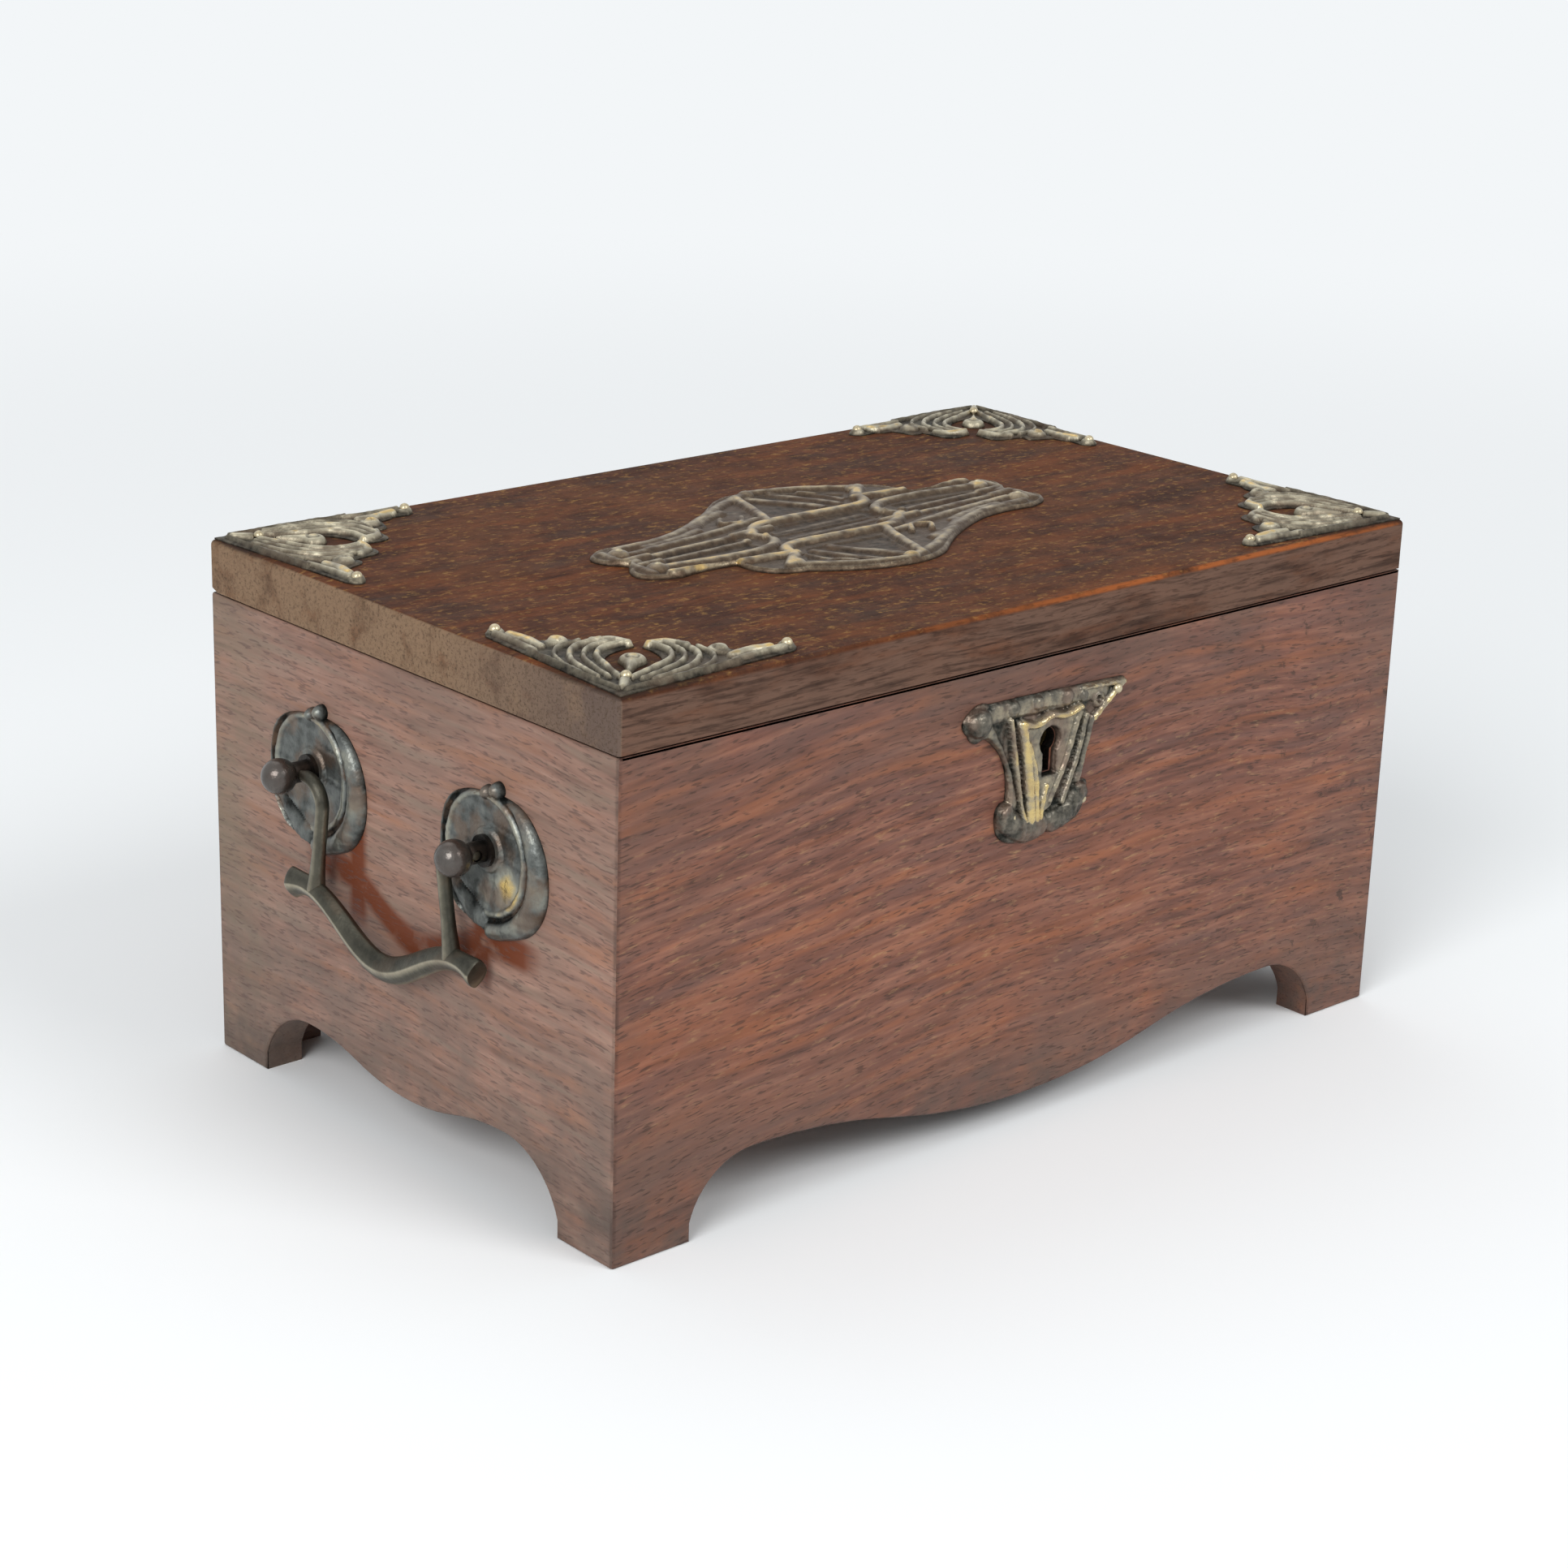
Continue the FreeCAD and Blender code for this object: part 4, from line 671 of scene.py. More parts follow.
@dataclass(frozen=True)
class Zone:
    """A part of a board with another tint, in blotches that show as their noise passes through cover.

    A blotch is its size across the grain, and longer with the grain by stretch.
    """

    spans: tuple[Span, ...]
    colour: str
    strength: float
    blotch: float
    cover: Pair = (0.34, 0.6)
    stretch: float = 1.0

    def share(self, tree: Tree, fibre: Socket, axes: tuple[Socket, ...]) -> Socket:
        """Works out how much of the tint shows: its blotches times the rise and fall of each span.

        Args:
            tree: The material's node tree.
            fibre: Place along the bent grain in millimetres.
            axes: The place along each axis.

        Returns:
            The share.
        """
        drawn = add_node(tree, "Mapping", {"Vector": fibre, "Scale": (1 / self.stretch, 1.0, 1.0)})
        blotch = add_node(tree, "TexNoise", {
            "Vector": drawn, "Scale": 1 / self.blotch, "Detail": 4.0, "Roughness": 0.65})
        share = add_node(tree, "MapRange", (blotch, *self.cover, 0.0, self.strength))
        for span in self.spans:
            for ends, first, last in ((span.rise, 0.0, 1.0), (span.fall, 1.0, 0.0)):
                edge = add_node(tree, "MapRange", (axes[span.axis.value], *ends, first, last))
                share = add_node(tree, "Math", (share, edge), operation="MULTIPLY")
        return share


@dataclass(frozen=True)
class BailPolishAndShadow:
    """Old polish kept where the hanging bail covered an end, with the bail's shadow painted over it: along
    the bow of its grip and by each arm.

    The bow's level is its middle level minus half its rise times the cosine of pi times the share of the way
    to its crest. A band's edges are the distances from its line where it starts to show and where it is full.
    """

    colour: str
    middle: float = -6.0
    crest: float = 28.0
    level: float = 53.6
    half_rise: float = 4.6
    grip_edge: Pair = (4.4, 2.2)
    grip_end: Pair = (42.0, 36.0)
    arm: float = 22.0
    arm_edge: Pair = (4.0, 1.8)
    arm_foot: Pair = (46.0, 50.0)
    arm_top: Pair = (76.0, 68.0)
    outside: Pair = (HALF_LENGTH - 1.0, HALF_LENGTH - 0.4)
    blotch: float = 10.0
    cover: Pair = (0.22, 0.42)
    strength: float = 0.95

    def share(self, tree: Tree, board: Socket, axes: tuple[Socket, ...]) -> Socket:
        """Works out how much of the old polish and the painted shadow shows.

        Args:
            tree: The material's node tree.
            board: Place on the board in millimetres.
            axes: The place along each axis.

        Returns:
            The share.
        """
        along, up, depth = (axes[axis.value] for axis in (Axis.ALONG, Axis.UP, Axis.THROUGH_FROM_MIDDLE))
        off = add_node(tree, "Math", (along, self.middle), operation="SUBTRACT")
        reach = add_node(tree, "Math", (off,), operation="ABSOLUTE")
        held = add_node(tree, "Math", (reach, self.crest), operation="MINIMUM")
        angle = add_node(tree, "Math", (held, math.pi / self.crest), operation="MULTIPLY")
        wave = add_node(tree, "Math", (angle,), operation="COSINE")
        bow = add_node(tree, "Math", (wave, -self.half_rise, self.level), operation="MULTIPLY_ADD")
        gaps = []
        for value, line in ((up, bow), (reach, self.arm)):
            past = add_node(tree, "Math", (value, line), operation="SUBTRACT")
            gaps.append(add_node(tree, "Math", (past,), operation="ABSOLUTE"))
        bands = []
        for limits in (((gaps[0], self.grip_edge), (reach, self.grip_end)),
                       ((gaps[1], self.arm_edge), (up, self.arm_foot), (up, self.arm_top))):
            edges = [add_node(tree, "MapRange", (value, *ends)) for value, ends in limits]
            for edge in edges[1:]:
                edges[0] = add_node(tree, "Math", (edges[0], edge), operation="MULTIPLY")
            bands.append(edges[0])
        share = add_node(tree, "Math", bands, operation="MAXIMUM")
        blotch = add_node(tree, "TexNoise", {"Vector": board, "Scale": 1 / self.blotch, "Detail": 4.0})
        for limit in ((blotch, *self.cover, 0.0, self.strength), (depth, *self.outside)):
            edge = add_node(tree, "MapRange", limit)
            share = add_node(tree, "Math", (share, edge), operation="MULTIPLY")
        return share


@dataclass(frozen=True)
class Mahogany:
    """Old oil-polished mahogany: red, orange and grey brown streaks with the grain, short pores, and tints of
    wear and dirt, some of them painted light and shade.

    The grain rises by bend times the squared distance from the crown, and mottle is the share of clouds in
    its tone.
    """

    name: str
    dark: str
    middle: str
    light: str
    warm: str
    cool: str
    pore: str
    grain: Grain
    zones: tuple[Zone, ...] = ()
    bend: float = 0.0
    crown: float = 0.0
    roughness: float = 0.5
    gloss: float = 0.35
    mottle: float = 0.0
    pore_share: float = 0.6
    bail_polish_and_shadow: BailPolishAndShadow | None = None

    # Each pattern's length with the grain, through it and across it in millimetres, and its detail: figure,
    # streak, hair, hue and pore. Real fibres and pores are 0.1 to 0.2 mm wide, and are drawn wider to show.
    PATTERNS = (((90.0, 12.0, 8.0), 4.0), ((26.0, 3.2, 2.0), 2.5), ((9.0, 1.1, 0.75), 2.0),
                ((40.0, 7.0, 3.6), 2.5), ((3.4, 0.6, 0.48), 1.0))
    PATTERNS_APART = 3.1
    TONE_SHARES = (0.25, 0.5, 0.25)
    DARK_LIGHT_MIDDLE = (0.37, 0.63, 0.5)
    WARM_FROM, COOL_FROM, HUE_STRENGTH = (0.52, 0.68), (0.48, 0.32), 0.7
    OPEN_PORE = (0.58, 0.68)
    MOTTLE_SIZE = 9.0
    WANDER_SIZE, WANDER_REACH = 50.0, 5.0
    TONE_RANGE, ROUGHER, SMOOTHER = (0.3, 0.7), 0.1, 0.06
    STREAK_DEPTH, PORE_DEPTH, PORE_STRENGTH = 0.5, 0.3, 0.3
    OIL_IOR = 1.5

    def material(self) -> Material:
        """Builds the wood.

        Returns:
            The material.
        """
        material, tree = blank(self.name)
        board = in_millimetres(tree, self.grain.value)
        axes = tuple(add_node(tree, "SeparateXYZ", (board,)).node.outputs)
        axes += tuple(add_node(tree, "Math", (way,), operation="ABSOLUTE") for way in axes[:2])
        fibre = self.fibre(tree, board, axes)
        waves = []
        for number, (lengths, detail) in enumerate(self.PATTERNS):
            drawn = add_node(tree, "Mapping", {
                "Vector": fibre, "Location": (self.PATTERNS_APART * number,) * 3,
                "Scale": tuple(1 / length for length in lengths)})
            waves.append(add_node(tree, "TexNoise", {
                "Vector": drawn, "Scale": 1.0, "Detail": detail, "Roughness": 0.6, "Distortion": 0.2}))
        figure, streak, hair, hue, speck = waves
        tone = 0.0
        for wave, share in zip((figure, streak, hair), self.TONE_SHARES):
            tone = add_node(tree, "Math", (wave, share, tone), operation="MULTIPLY_ADD")
        if self.mottle:
            cloud = add_node(tree, "TexNoise", {
                "Vector": board, "Scale": 1 / self.MOTTLE_SIZE, "Detail": 8.0, "Roughness": 0.8})
            tone = add_node(tree, "Mix", {MIX_SHARE: self.mottle, FIRST_NUMBER: tone, SECOND_NUMBER: cloud})
        colour = add_node(tree, "ValToRGB", (tone,), stops=zip(
            self.DARK_LIGHT_MIDDLE, (self.dark, self.light, self.middle)))
        tints = [(add_node(tree, "MapRange", (hue, *ends, 0.0, self.HUE_STRENGTH)), tint)
                 for tint, ends in ((self.warm, self.WARM_FROM), (self.cool, self.COOL_FROM))]
        tints += [(zone.share(tree, fibre, axes), zone.colour) for zone in self.zones]
        # The old polish kept under the bail, with the bail's shadow painted in.
        if self.bail_polish_and_shadow:
            tints.append((self.bail_polish_and_shadow.share(tree, board, axes), self.bail_polish_and_shadow.colour))
        open_pore = add_node(tree, "MapRange", (speck, *self.OPEN_PORE))
        tints.append((add_node(tree, "Math", (open_pore, self.pore_share), operation="MULTIPLY"), self.pore))
        for share, tint in tints:
            colour = add_node(tree, "Mix", {
                MIX_SHARE: share, FIRST_COLOUR: colour, SECOND_COLOUR: linear(tint)},
                MIXED_COLOUR, data_type="RGBA")
        rough = add_node(tree, "MapRange", (
            tone, *self.TONE_RANGE, self.roughness + self.ROUGHER, self.roughness - self.SMOOTHER))
        relief = add_node(tree, "Math", (streak, self.STREAK_DEPTH, open_pore), operation="MULTIPLY_ADD")
        bump = add_node(tree, "Bump", {"Height": relief, "Strength": self.PORE_STRENGTH,
                                       "Distance": self.PORE_DEPTH * MM}, invert=True)
        fill(tree, tree.nodes["Principled BSDF"], {
            "Base Color": colour, "Roughness": rough, "Normal": bump, "IOR": self.OIL_IOR,
            "Specular IOR Level": self.gloss})
        return material

    def fibre(self, tree: Tree, board: Socket, axes: tuple[Socket, ...]) -> Socket:
        """Bends the grain: height plus bend times the squared distance from the crown, plus a slow wander.

        Args:
            tree: The material's node tree.
            board: Place on the board in millimetres.
            axes: The place along each axis.

        Returns:
            The bent place.
        """
        along, through, up = axes[:3]
        off = add_node(tree, "Math", (along, self.crown), operation="SUBTRACT")
        square = add_node(tree, "Math", (off, off), operation="MULTIPLY")
        lifted = add_node(tree, "Math", (square, self.bend, up), operation="MULTIPLY_ADD")
        wander = add_node(tree, "TexNoise", {
            "Vector": board, "Scale": 1 / self.WANDER_SIZE, "Detail": 1.0})
        wavy = add_node(tree, "Math", (wander, self.WANDER_REACH, lifted), operation="MULTIPLY_ADD")
        return add_node(tree, "CombineXYZ", (along, through, wavy))


@dataclass(frozen=True)
class AgedBrass:
    """Cast or pressed brass gone dull: dark hollows, grey-green patina, pale and then golden where rubbed.

    Bareness is start plus the piece's rub attribute, and drifts by cloud. Painted shade lies on what is
    nearer to the box's middle plane than the shaded distance, in millimetres.
    """

    name: str
    deep: str
    patina: str
    pale: str
    gold: str
    start: float = 0.0
    cloud: float = 0.5
    cloud_size: float = 4.0
    stain: str = "#5c4a3b"
    stain_share: float = 0.4
    grain: float = 0.7
    grain_depth: float = 0.2
    roughness: float = 0.42
    metal: float = 0.8
    painted_shade_to: float = 0.0

    DEEP_GOLD_PATINA_PALE = (0.0, 1.0, 0.3, 0.65)
    STAIN_SIZE, STAINED = 6.5, (0.48, 0.62)
    # How the painted shade near the board fades in, and how deep it goes.
    GRIME_EDGE, GRIME = (-0.5, 1.5), -0.5
    BARE_RANGE, ROUGHER, SMOOTHER = (0.0, 0.9), 0.16, 0.1
    SKIN_STRENGTH = 0.4

    def material(self) -> Material:
        """Builds the metal.

        Returns:
            The material.
        """
        material, tree = blank(self.name)
        board = in_millimetres(tree)
        rub = add_node(tree, "Attribute", out="Fac", attribute_name=RUB)
        # Clouds of patina and brown stains are millimetres across; the skin's grain is drawn coarse to show.
        cloud = add_node(tree, "TexNoise", {
            "Vector": board, "Scale": 1 / self.cloud_size, "Detail": 5.0, "Roughness": 0.65})
        skin = add_node(tree, "TexNoise", {"Vector": board, "Scale": 1 / self.grain, "Detail": 2.0})
        patch = add_node(tree, "TexNoise", {"Vector": board, "Scale": 1 / self.STAIN_SIZE, "Detail": 4.0})
        least = self.start - self.cloud / 2
        drift = add_node(tree, "Math", (cloud, self.cloud, least), operation="MULTIPLY_ADD")
        level = add_node(tree, "Math", (rub, drift), operation="ADD")
        # Painted shade: darker where the piece is near the board, as round a post's neck.
        if self.painted_shade_to:
            away = add_node(tree, "Math", (add_node(tree, "SeparateXYZ", (board,)),), operation="ABSOLUTE")
            ends = (self.painted_shade_to + edge for edge in self.GRIME_EDGE)
            darkening = add_node(tree, "MapRange", (away, *ends, self.GRIME, 0.0))
            level = add_node(tree, "Math", (level, darkening), operation="ADD")
        colour = add_node(tree, "ValToRGB", (level,), stops=zip(
            self.DEEP_GOLD_PATINA_PALE, (self.deep, self.gold, self.patina, self.pale)))
        stained = add_node(tree, "MapRange", (patch, *self.STAINED, 0.0, self.stain_share))
        colour = add_node(tree, "Mix", {
            MIX_SHARE: stained, FIRST_COLOUR: colour, SECOND_COLOUR: linear(self.stain)},
            MIXED_COLOUR, data_type="RGBA")
        rough = add_node(tree, "MapRange", (
            level, *self.BARE_RANGE, self.roughness + self.ROUGHER, self.roughness - self.SMOOTHER))
        bump = add_node(tree, "Bump", {
            "Height": skin, "Strength": self.SKIN_STRENGTH, "Distance": self.grain_depth * MM})
        fill(tree, tree.nodes["Principled BSDF"], {
            "Base Color": colour, "Roughness": rough, "Normal": bump, "Metallic": self.metal})
        return material


FOOT_GRIME = Zone((Span(Axis.UP, fall=(8.0, 24.0)),), "#50453e", 0.8, 16.0)
LID_FACE = Span(Axis.UP, rise=(LID_TOP - 0.8, LID_TOP - 0.2))
LID_FRONT = (Span(Axis.THROUGH, fall=(0.2 - HALF_DEPTH, 0.8 - HALF_DEPTH)),
             Span(Axis.UP, fall=(LID_TOP - 1.2, LID_TOP - 0.6)))
# The lid's rounded front top edge, towards the right: worn orange, with a painted highlight.
LID_EDGE_WEAR_AND_HIGHLIGHT = (Span(Axis.THROUGH, fall=(0.6 - HALF_DEPTH, 1.3 - HALF_DEPTH)),
                  Span(Axis.UP, rise=(LID_TOP - 1.1, LID_TOP - 0.6)), Span(Axis.ALONG, rise=(-70.0, 30.0)))
LID_CORNERS = (LID_FACE, Span(Axis.ALONG_FROM_MIDDLE, rise=(88.0, 100.0)),
               Span(Axis.THROUGH_FROM_MIDDLE, rise=(44.0, 54.0)))
LID_END = Span(Axis.ALONG_FROM_MIDDLE, rise=(HALF_LENGTH - 0.8, HALF_LENGTH - 0.4))
FRONT_BOARD = ((0.04 - HALF_DEPTH, 0.1 - HALF_DEPTH), (9.5 - HALF_DEPTH, 10.5 - HALF_DEPTH))
# The keyhole's bore through the front board, painted near black as shade.
KEYHOLE_BORE_SHADE = (Span(Axis.ALONG, (-3.5, -3.4), (3.4, 3.5)), Span(Axis.UP, (80.6, 80.7), (93.0, 93.1)),
                Span(Axis.THROUGH, *FRONT_BOARD))
FRONT_CORNERS = Span(Axis.ALONG_FROM_MIDDLE, rise=(HALF_LENGTH - 1.1, HALF_LENGTH - 0.5))
END_CORNERS = Span(Axis.ALONG_FROM_MIDDLE, rise=(HALF_DEPTH - 1.1, HALF_DEPTH - 0.5))

# Rubbed dull by hands: fine red and orange streaks, greyer towards the top, the right edge and the feet.
FRONT_WOOD = Mahogany(
    "mahogany_front_oil_polished", "#53352b", "#744b3d", "#936450", "#91583a", "#684a42", "#38261f",
    Grain.ALONG_THE_LENGTH,
    zones=(
        Zone((Span(Axis.UP, (10.0, 30.0), (46.0, 76.0)),), "#965a3c", 0.42, 20.0, (0.45, 0.62), 3.0),
        Zone((Span(Axis.UP, (8.0, 24.0), (84.0, 98.0)),), "#a8865e", 0.55, 1.1, (0.57, 0.7), 5.0),
        Zone((Span(Axis.UP, fall=(22.0, 44.0)),), "#70564a", 0.5, 24.0),
        Zone((Span(Axis.UP, rise=(82.0, 108.0)),), "#5d483e", 0.75, 28.0),
        Zone((Span(Axis.ALONG_FROM_MIDDLE, rise=(82.0, 117.0)),), "#614a40", 0.7, 22.0),
        Zone((Span(Axis.ALONG, rise=(50.0, 80.0)),), "#36271f", 0.7, 4.5, (0.62, 0.68)),
        FOOT_GRIME,
        # Painted shade: the keyhole's bore near black.
        Zone(KEYHOLE_BORE_SHADE, "#0c0907", 9.0, 20.0, (0.0, 0.1)),
        Zone((FRONT_CORNERS,), "#3b2a24", 0.65, 5.0),
    ),
    bend=0.00045, crown=45.0, gloss=0.28,
)
# Paler and pinker than the front: the brighter light and pale sheen on the ends are painted into the colour.
# The old orange polish is left where the bail hung over it, with the bail's shadow painted in.
END_WOOD = Mahogany(
    "mahogany_end_oil_polished", "#6b4f43", "#8a6759", "#a07c6b", "#97664a", "#827162", "#54403a",
    Grain.ALONG_THE_DEPTH,
    zones=(
        Zone((Span(Axis.UP),), "#7d685c", 0.45, 20.0),
        Zone((Span(Axis.UP, fall=(30.0, 60.0)),), "#6b5b52", 0.65, 12.0),
        Zone((Span(Axis.ALONG, rise=(44.0, 70.0)),), "#716754", 0.6, 18.0),
        Zone((Span(Axis.UP, rise=(94.0, 108.0)),), "#6d5549", 0.6, 26.0),
        FOOT_GRIME,
        Zone((END_CORNERS,), "#3f2f29", 0.6, 5.0),
    ),
    # The old orange polish under the bail, with the bail's shadow painted in.
    bend=0.0003, crown=-10.0, gloss=0.28, bail_polish_and_shadow=BailPolishAndShadow("#632b0b"),
)
# The darkest board: thick brown polish, mottled and flecked with gold where crazed; pale grain at its ends;
# its rounded front top edge worn orange, with a painted highlight along it.
LID_WOOD = Mahogany(
    "mahogany_lid_oil_polished", "#2a150c", "#472819", "#673c22", "#6b3a1c", "#3d2d25", "#25150e",
    Grain.ALONG_THE_LENGTH,
    zones=(
        Zone((LID_FACE,), "#6b4024", 0.4, 30.0, (0.45, 0.65)),
        Zone((LID_FACE,), "#96703f", 0.7, 1.4, (0.55, 0.7), 1.8),
        Zone((LID_FACE,), "#241610", 0.6, 2.2, (0.58, 0.72)),
        Zone(LID_FRONT, "#6c5346", 0.85, 9.0, (0.25, 0.5), 4.0),
        Zone(LID_FRONT, "#35261f", 0.75, 1.3, (0.48, 0.62), 16.0),
        # Worn orange edge with a painted highlight along it.
        Zone(LID_EDGE_WEAR_AND_HIGHLIGHT, "#9a562c", 0.9, 9.0, (0.3, 0.5)),
        Zone((LID_END,), "#826a54", 0.95, 9.0, (0.2, 0.5)),
        Zone((LID_END, Span(Axis.THROUGH, fall=(-64.0, -12.0))), "#5a4c46", 0.85, 14.0, (0.2, 0.5)),
        Zone((LID_END,), "#4d3d30", 0.7, 1.0, (0.5, 0.68)),
        Zone(LID_CORNERS, "#291b14", 0.75, 8.0, (0.2, 0.5)),
    ),
    roughness=0.68, gloss=0.1, mottle=0.62, pore_share=0.35,
)
# Plain planed boards inside, paler because no polish was put on them.
INNER_WOOD = Mahogany(
    "mahogany_floor_planed", "#5f4233", "#7a5744", "#8c6851", "#875c40", "#6d5a4c", "#4a352b",
    Grain.ALONG_THE_LENGTH, roughness=0.62,
)

# Thin pressings, greyed, with pale ridges and gold left on the highest scrolls.
MOUNT_BRASS = AgedBrass(
    "brass_mounts_pressed", "#28231c", "#776f5f", "#bab29b", "#cdb075",
    cloud=0.55, cloud_size=2.4, grain=1.0, grain_depth=0.3,
)
# The same pressing, browned like the lid that it lies on, gilt where hands have rested.
CENTRE_BRASS = AgedBrass(
    "brass_centre_mount_pressed", "#271e17", "#594a3b", "#988a73", "#c8aa70",
    cloud=0.7, cloud_size=2.2, stain="#4c3828", stain_share=0.5, grain=1.2, grain_depth=0.4,
)
# Thick casting, rubbed golden by the key hand and nearly black in its foot.
SHIELD_BRASS = AgedBrass(
    "brass_escutcheon_cast", "#1c1e1a", "#69645a", "#a0957f", "#cfb77d",
    cloud=0.85, cloud_size=1.7, stain="#806a5c", stain_share=0.55, grain=1.0, grain_depth=0.5, roughness=0.3,
)
# Castings with a thick grey-green skin and brown stains, and little shine.
PLATE_BRASS = AgedBrass(
    "brass_back_plates_cast", "#171917", "#666966", "#959487", "#d2b46c",
    cloud=0.65, cloud_size=3.2, stain="#6d5543", stain_share=0.55, grain=1.0, grain_depth=0.4, roughness=0.36,
)
# Handled metal, smoother and warmer, paler along the ridge.
BAIL_BRASS = AgedBrass(
    "brass_bails_cast", "#22221d", "#5b584d", "#a39b87", "#b5a888",
    start=0.08, cloud=0.4, stain_share=0.3, roughness=0.34,
)
# Turned balls browned by oil, still smooth enough for one sharp highlight, with painted shade round their
# necks.
POST_BRASS = AgedBrass(
    "brass_posts_turned", "#1f1d1a", "#5e5955", "#979189", "#b2aba2",
    start=0.28, cloud=0.3, stain="#4f4039", roughness=0.2, painted_shade_to=HALF_LENGTH + 4.8,
)
# Small pin heads, the brightest metal on the box.
PIN_BRASS = AgedBrass(
    "brass_pins_domed", "#5a4d3a", "#9a8c70", "#cfc2a2", "#e0d4b4",
    start=0.5, cloud=0.4, stain_share=0.2, roughness=0.34,
)
# Drawn hinge brass, kept yellower by being closed away.
HINGE_BRASS = AgedBrass("brass_hinges_drawn", "#55462c", "#8c7850", "#a8925f", "#b89f6a", start=0.4)
# Rolled lock plates, even and yellow.
LOCK_BRASS = AgedBrass(
    "brass_lock_plate_rolled", "#5a4a30", "#937d52", "#ad9662", "#bda66e",
    start=0.42, cloud=0.4, stain_share=0.2,
)
# Plain turned steel, grey and a little stained.
SCREW_STEEL = AgedBrass(
    "steel_screws_turned", "#3f3d3a", "#6f6d69", "#8b8883", "#98958f",
    start=0.4, metal=1.0, stain="#5a5048", stain_share=0.3,
)


# The box, in millimetres


@dataclass
class Carcass:
    """The mitred boards with their bracket feet, the floor and the lid."""

    apron_top: float = 19.0
    corner_round: float = 0.9
    edge_round: float = 0.55
    edge_steps: int = 3
    near: float = 0.01

    # Angles of the round corner, in degrees, where its faces are cut so that they can bend.
    CUTS = (0.0, 15.0, 30.0)

    def build(self) -> None:
        """Makes the worn boards and dresses the floor."""
        for names, wood in ((("front_board", "back_board"), FRONT_WOOD),
                            (("left_end_board", "right_end_board"), END_WOOD)):
            material = wood.material()
            for name in names:
                self.worn_board(name, material, "case", CASE_TOP)
        self.worn_board("lid_board", LID_WOOD.material(), "lid", LID_TOP)
        dress(INNER_WOOD.material(), "floor_board")

    def worn_board(self, node: str, material: Material, body: str, top: float) -> None:
        """Copies a board, rounds its half of the upright corners and softens its outer edges.

        Near a corner, a and b are the distances past the start of the round towards the two faces; the point
        (a, b) moves to (a, b) times the larger of them over its distance from that start, which bends the
        square corner onto a quarter circle and keeps the mitre.

        Args:
            node: The board's CAD node.
            material: Its wood.
            body: The body it moves with.
            top: The level of its upper edge.
        """
        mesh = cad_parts[node].data.copy()
        mesh.name = f"{node}_worn"
        self.cut_corners(mesh)
        points = np.empty(len(mesh.vertices) * 3, np.float32)
        mesh.vertices.foreach_get("co", points)
        points = points.reshape(-1, 3).astype(float) / MM
        self.mark_worn_edges(mesh, points, top)
        reach = np.array([HALF_LENGTH, HALF_DEPTH]) - self.corner_round
        past = np.abs(points[:, :2]) - reach
        rounding = (past > 0).all(axis=1)
        scale = past.max(axis=1) / np.maximum(np.hypot(*past.T), NEAR_ZERO)
        bent = np.sign(points[:, :2]) * (reach + past * scale[:, None])
        points[:, :2] = np.where(rounding[:, None], bent, points[:, :2])
        mesh.vertices.foreach_set("co", (points * MM).astype(np.float32).reshape(-1))
        mesh.materials.clear()
        mesh.materials.append(material)
        mesh.shade_smooth()
        mesh.set_sharp_from_angle(angle=BOARD_CREASE)
        piece = link(mesh.name, mesh)
        soft = piece.modifiers.new("worn_edges", "BEVEL")
        soft.width = self.edge_round * MM
        soft.segments = self.edge_steps
        soft.limit_method = "WEIGHT"
        soft.use_clamp_overlap = False
        piece.modifiers.new("flat_faces", "WEIGHTED_NORMAL").keep_sharp = True
        join(piece, body, node)

    def cut_corners(self, mesh: bpy.types.Mesh) -> None:
        """Merges a board's triangles into flat faces and cuts these where the upright corners are to bend.

        Args:
            mesh: The board's mesh.
        """
        work = bmesh.new()
        work.from_mesh(mesh)
        bmesh.ops.remove_doubles(work, verts=work.verts, dist=SLIVER)
        bmesh.ops.dissolve_limit(work, angle_limit=ONE_FACE, verts=work.verts, edges=work.edges)
        for angle in self.CUTS:
            inward = self.corner_round * (1 - math.tan(math.radians(angle)))
            for axis, reach in ((0, HALF_LENGTH - inward), (1, HALF_DEPTH - inward)):
                for side in (-1, 1):
                    middle, normal = Vector((0, 0, 0)), Vector((0, 0, 0))
                    middle[axis], normal[axis] = side * reach * MM, side
                    everything = work.verts[:] + work.edges[:] + work.faces[:]
                    bmesh.ops.bisect_plane(
                        work, geom=everything, dist=ON_CUT, plane_co=middle, plane_no=normal)
        work.to_mesh(mesh)
        work.free()

    def mark_worn_edges(self, mesh: bpy.types.Mesh, points: Array, top: float) -> None:
        """Marks the edges between a board's outer face and its foot, apron and top for the soft bevel.

        Args:
            mesh: The board's mesh.
            points: Its vertices in millimetres.
            top: The level of its upper edge.
        """
        ends = np.empty(len(mesh.edges) * 2, np.int32)
        mesh.edges.foreach_get("vertices", ends)
        pairs = points[ends.reshape(-1, 2)]
        from_faces = np.abs(np.abs(pairs[..., :2]) - (HALF_LENGTH, HALF_DEPTH))
        outer = (from_faces < self.near).all(axis=1).any(axis=1)
        low = (pairs[..., 2] < self.apron_top).all(axis=1)
        high = (pairs[..., 2] > top - self.near).all(axis=1)
        weight = mesh.attributes.new("bevel_weight_edge", "FLOAT", "EDGE")
        weight.data.foreach_set("value", (outer & (low | high)).astype(np.float32))


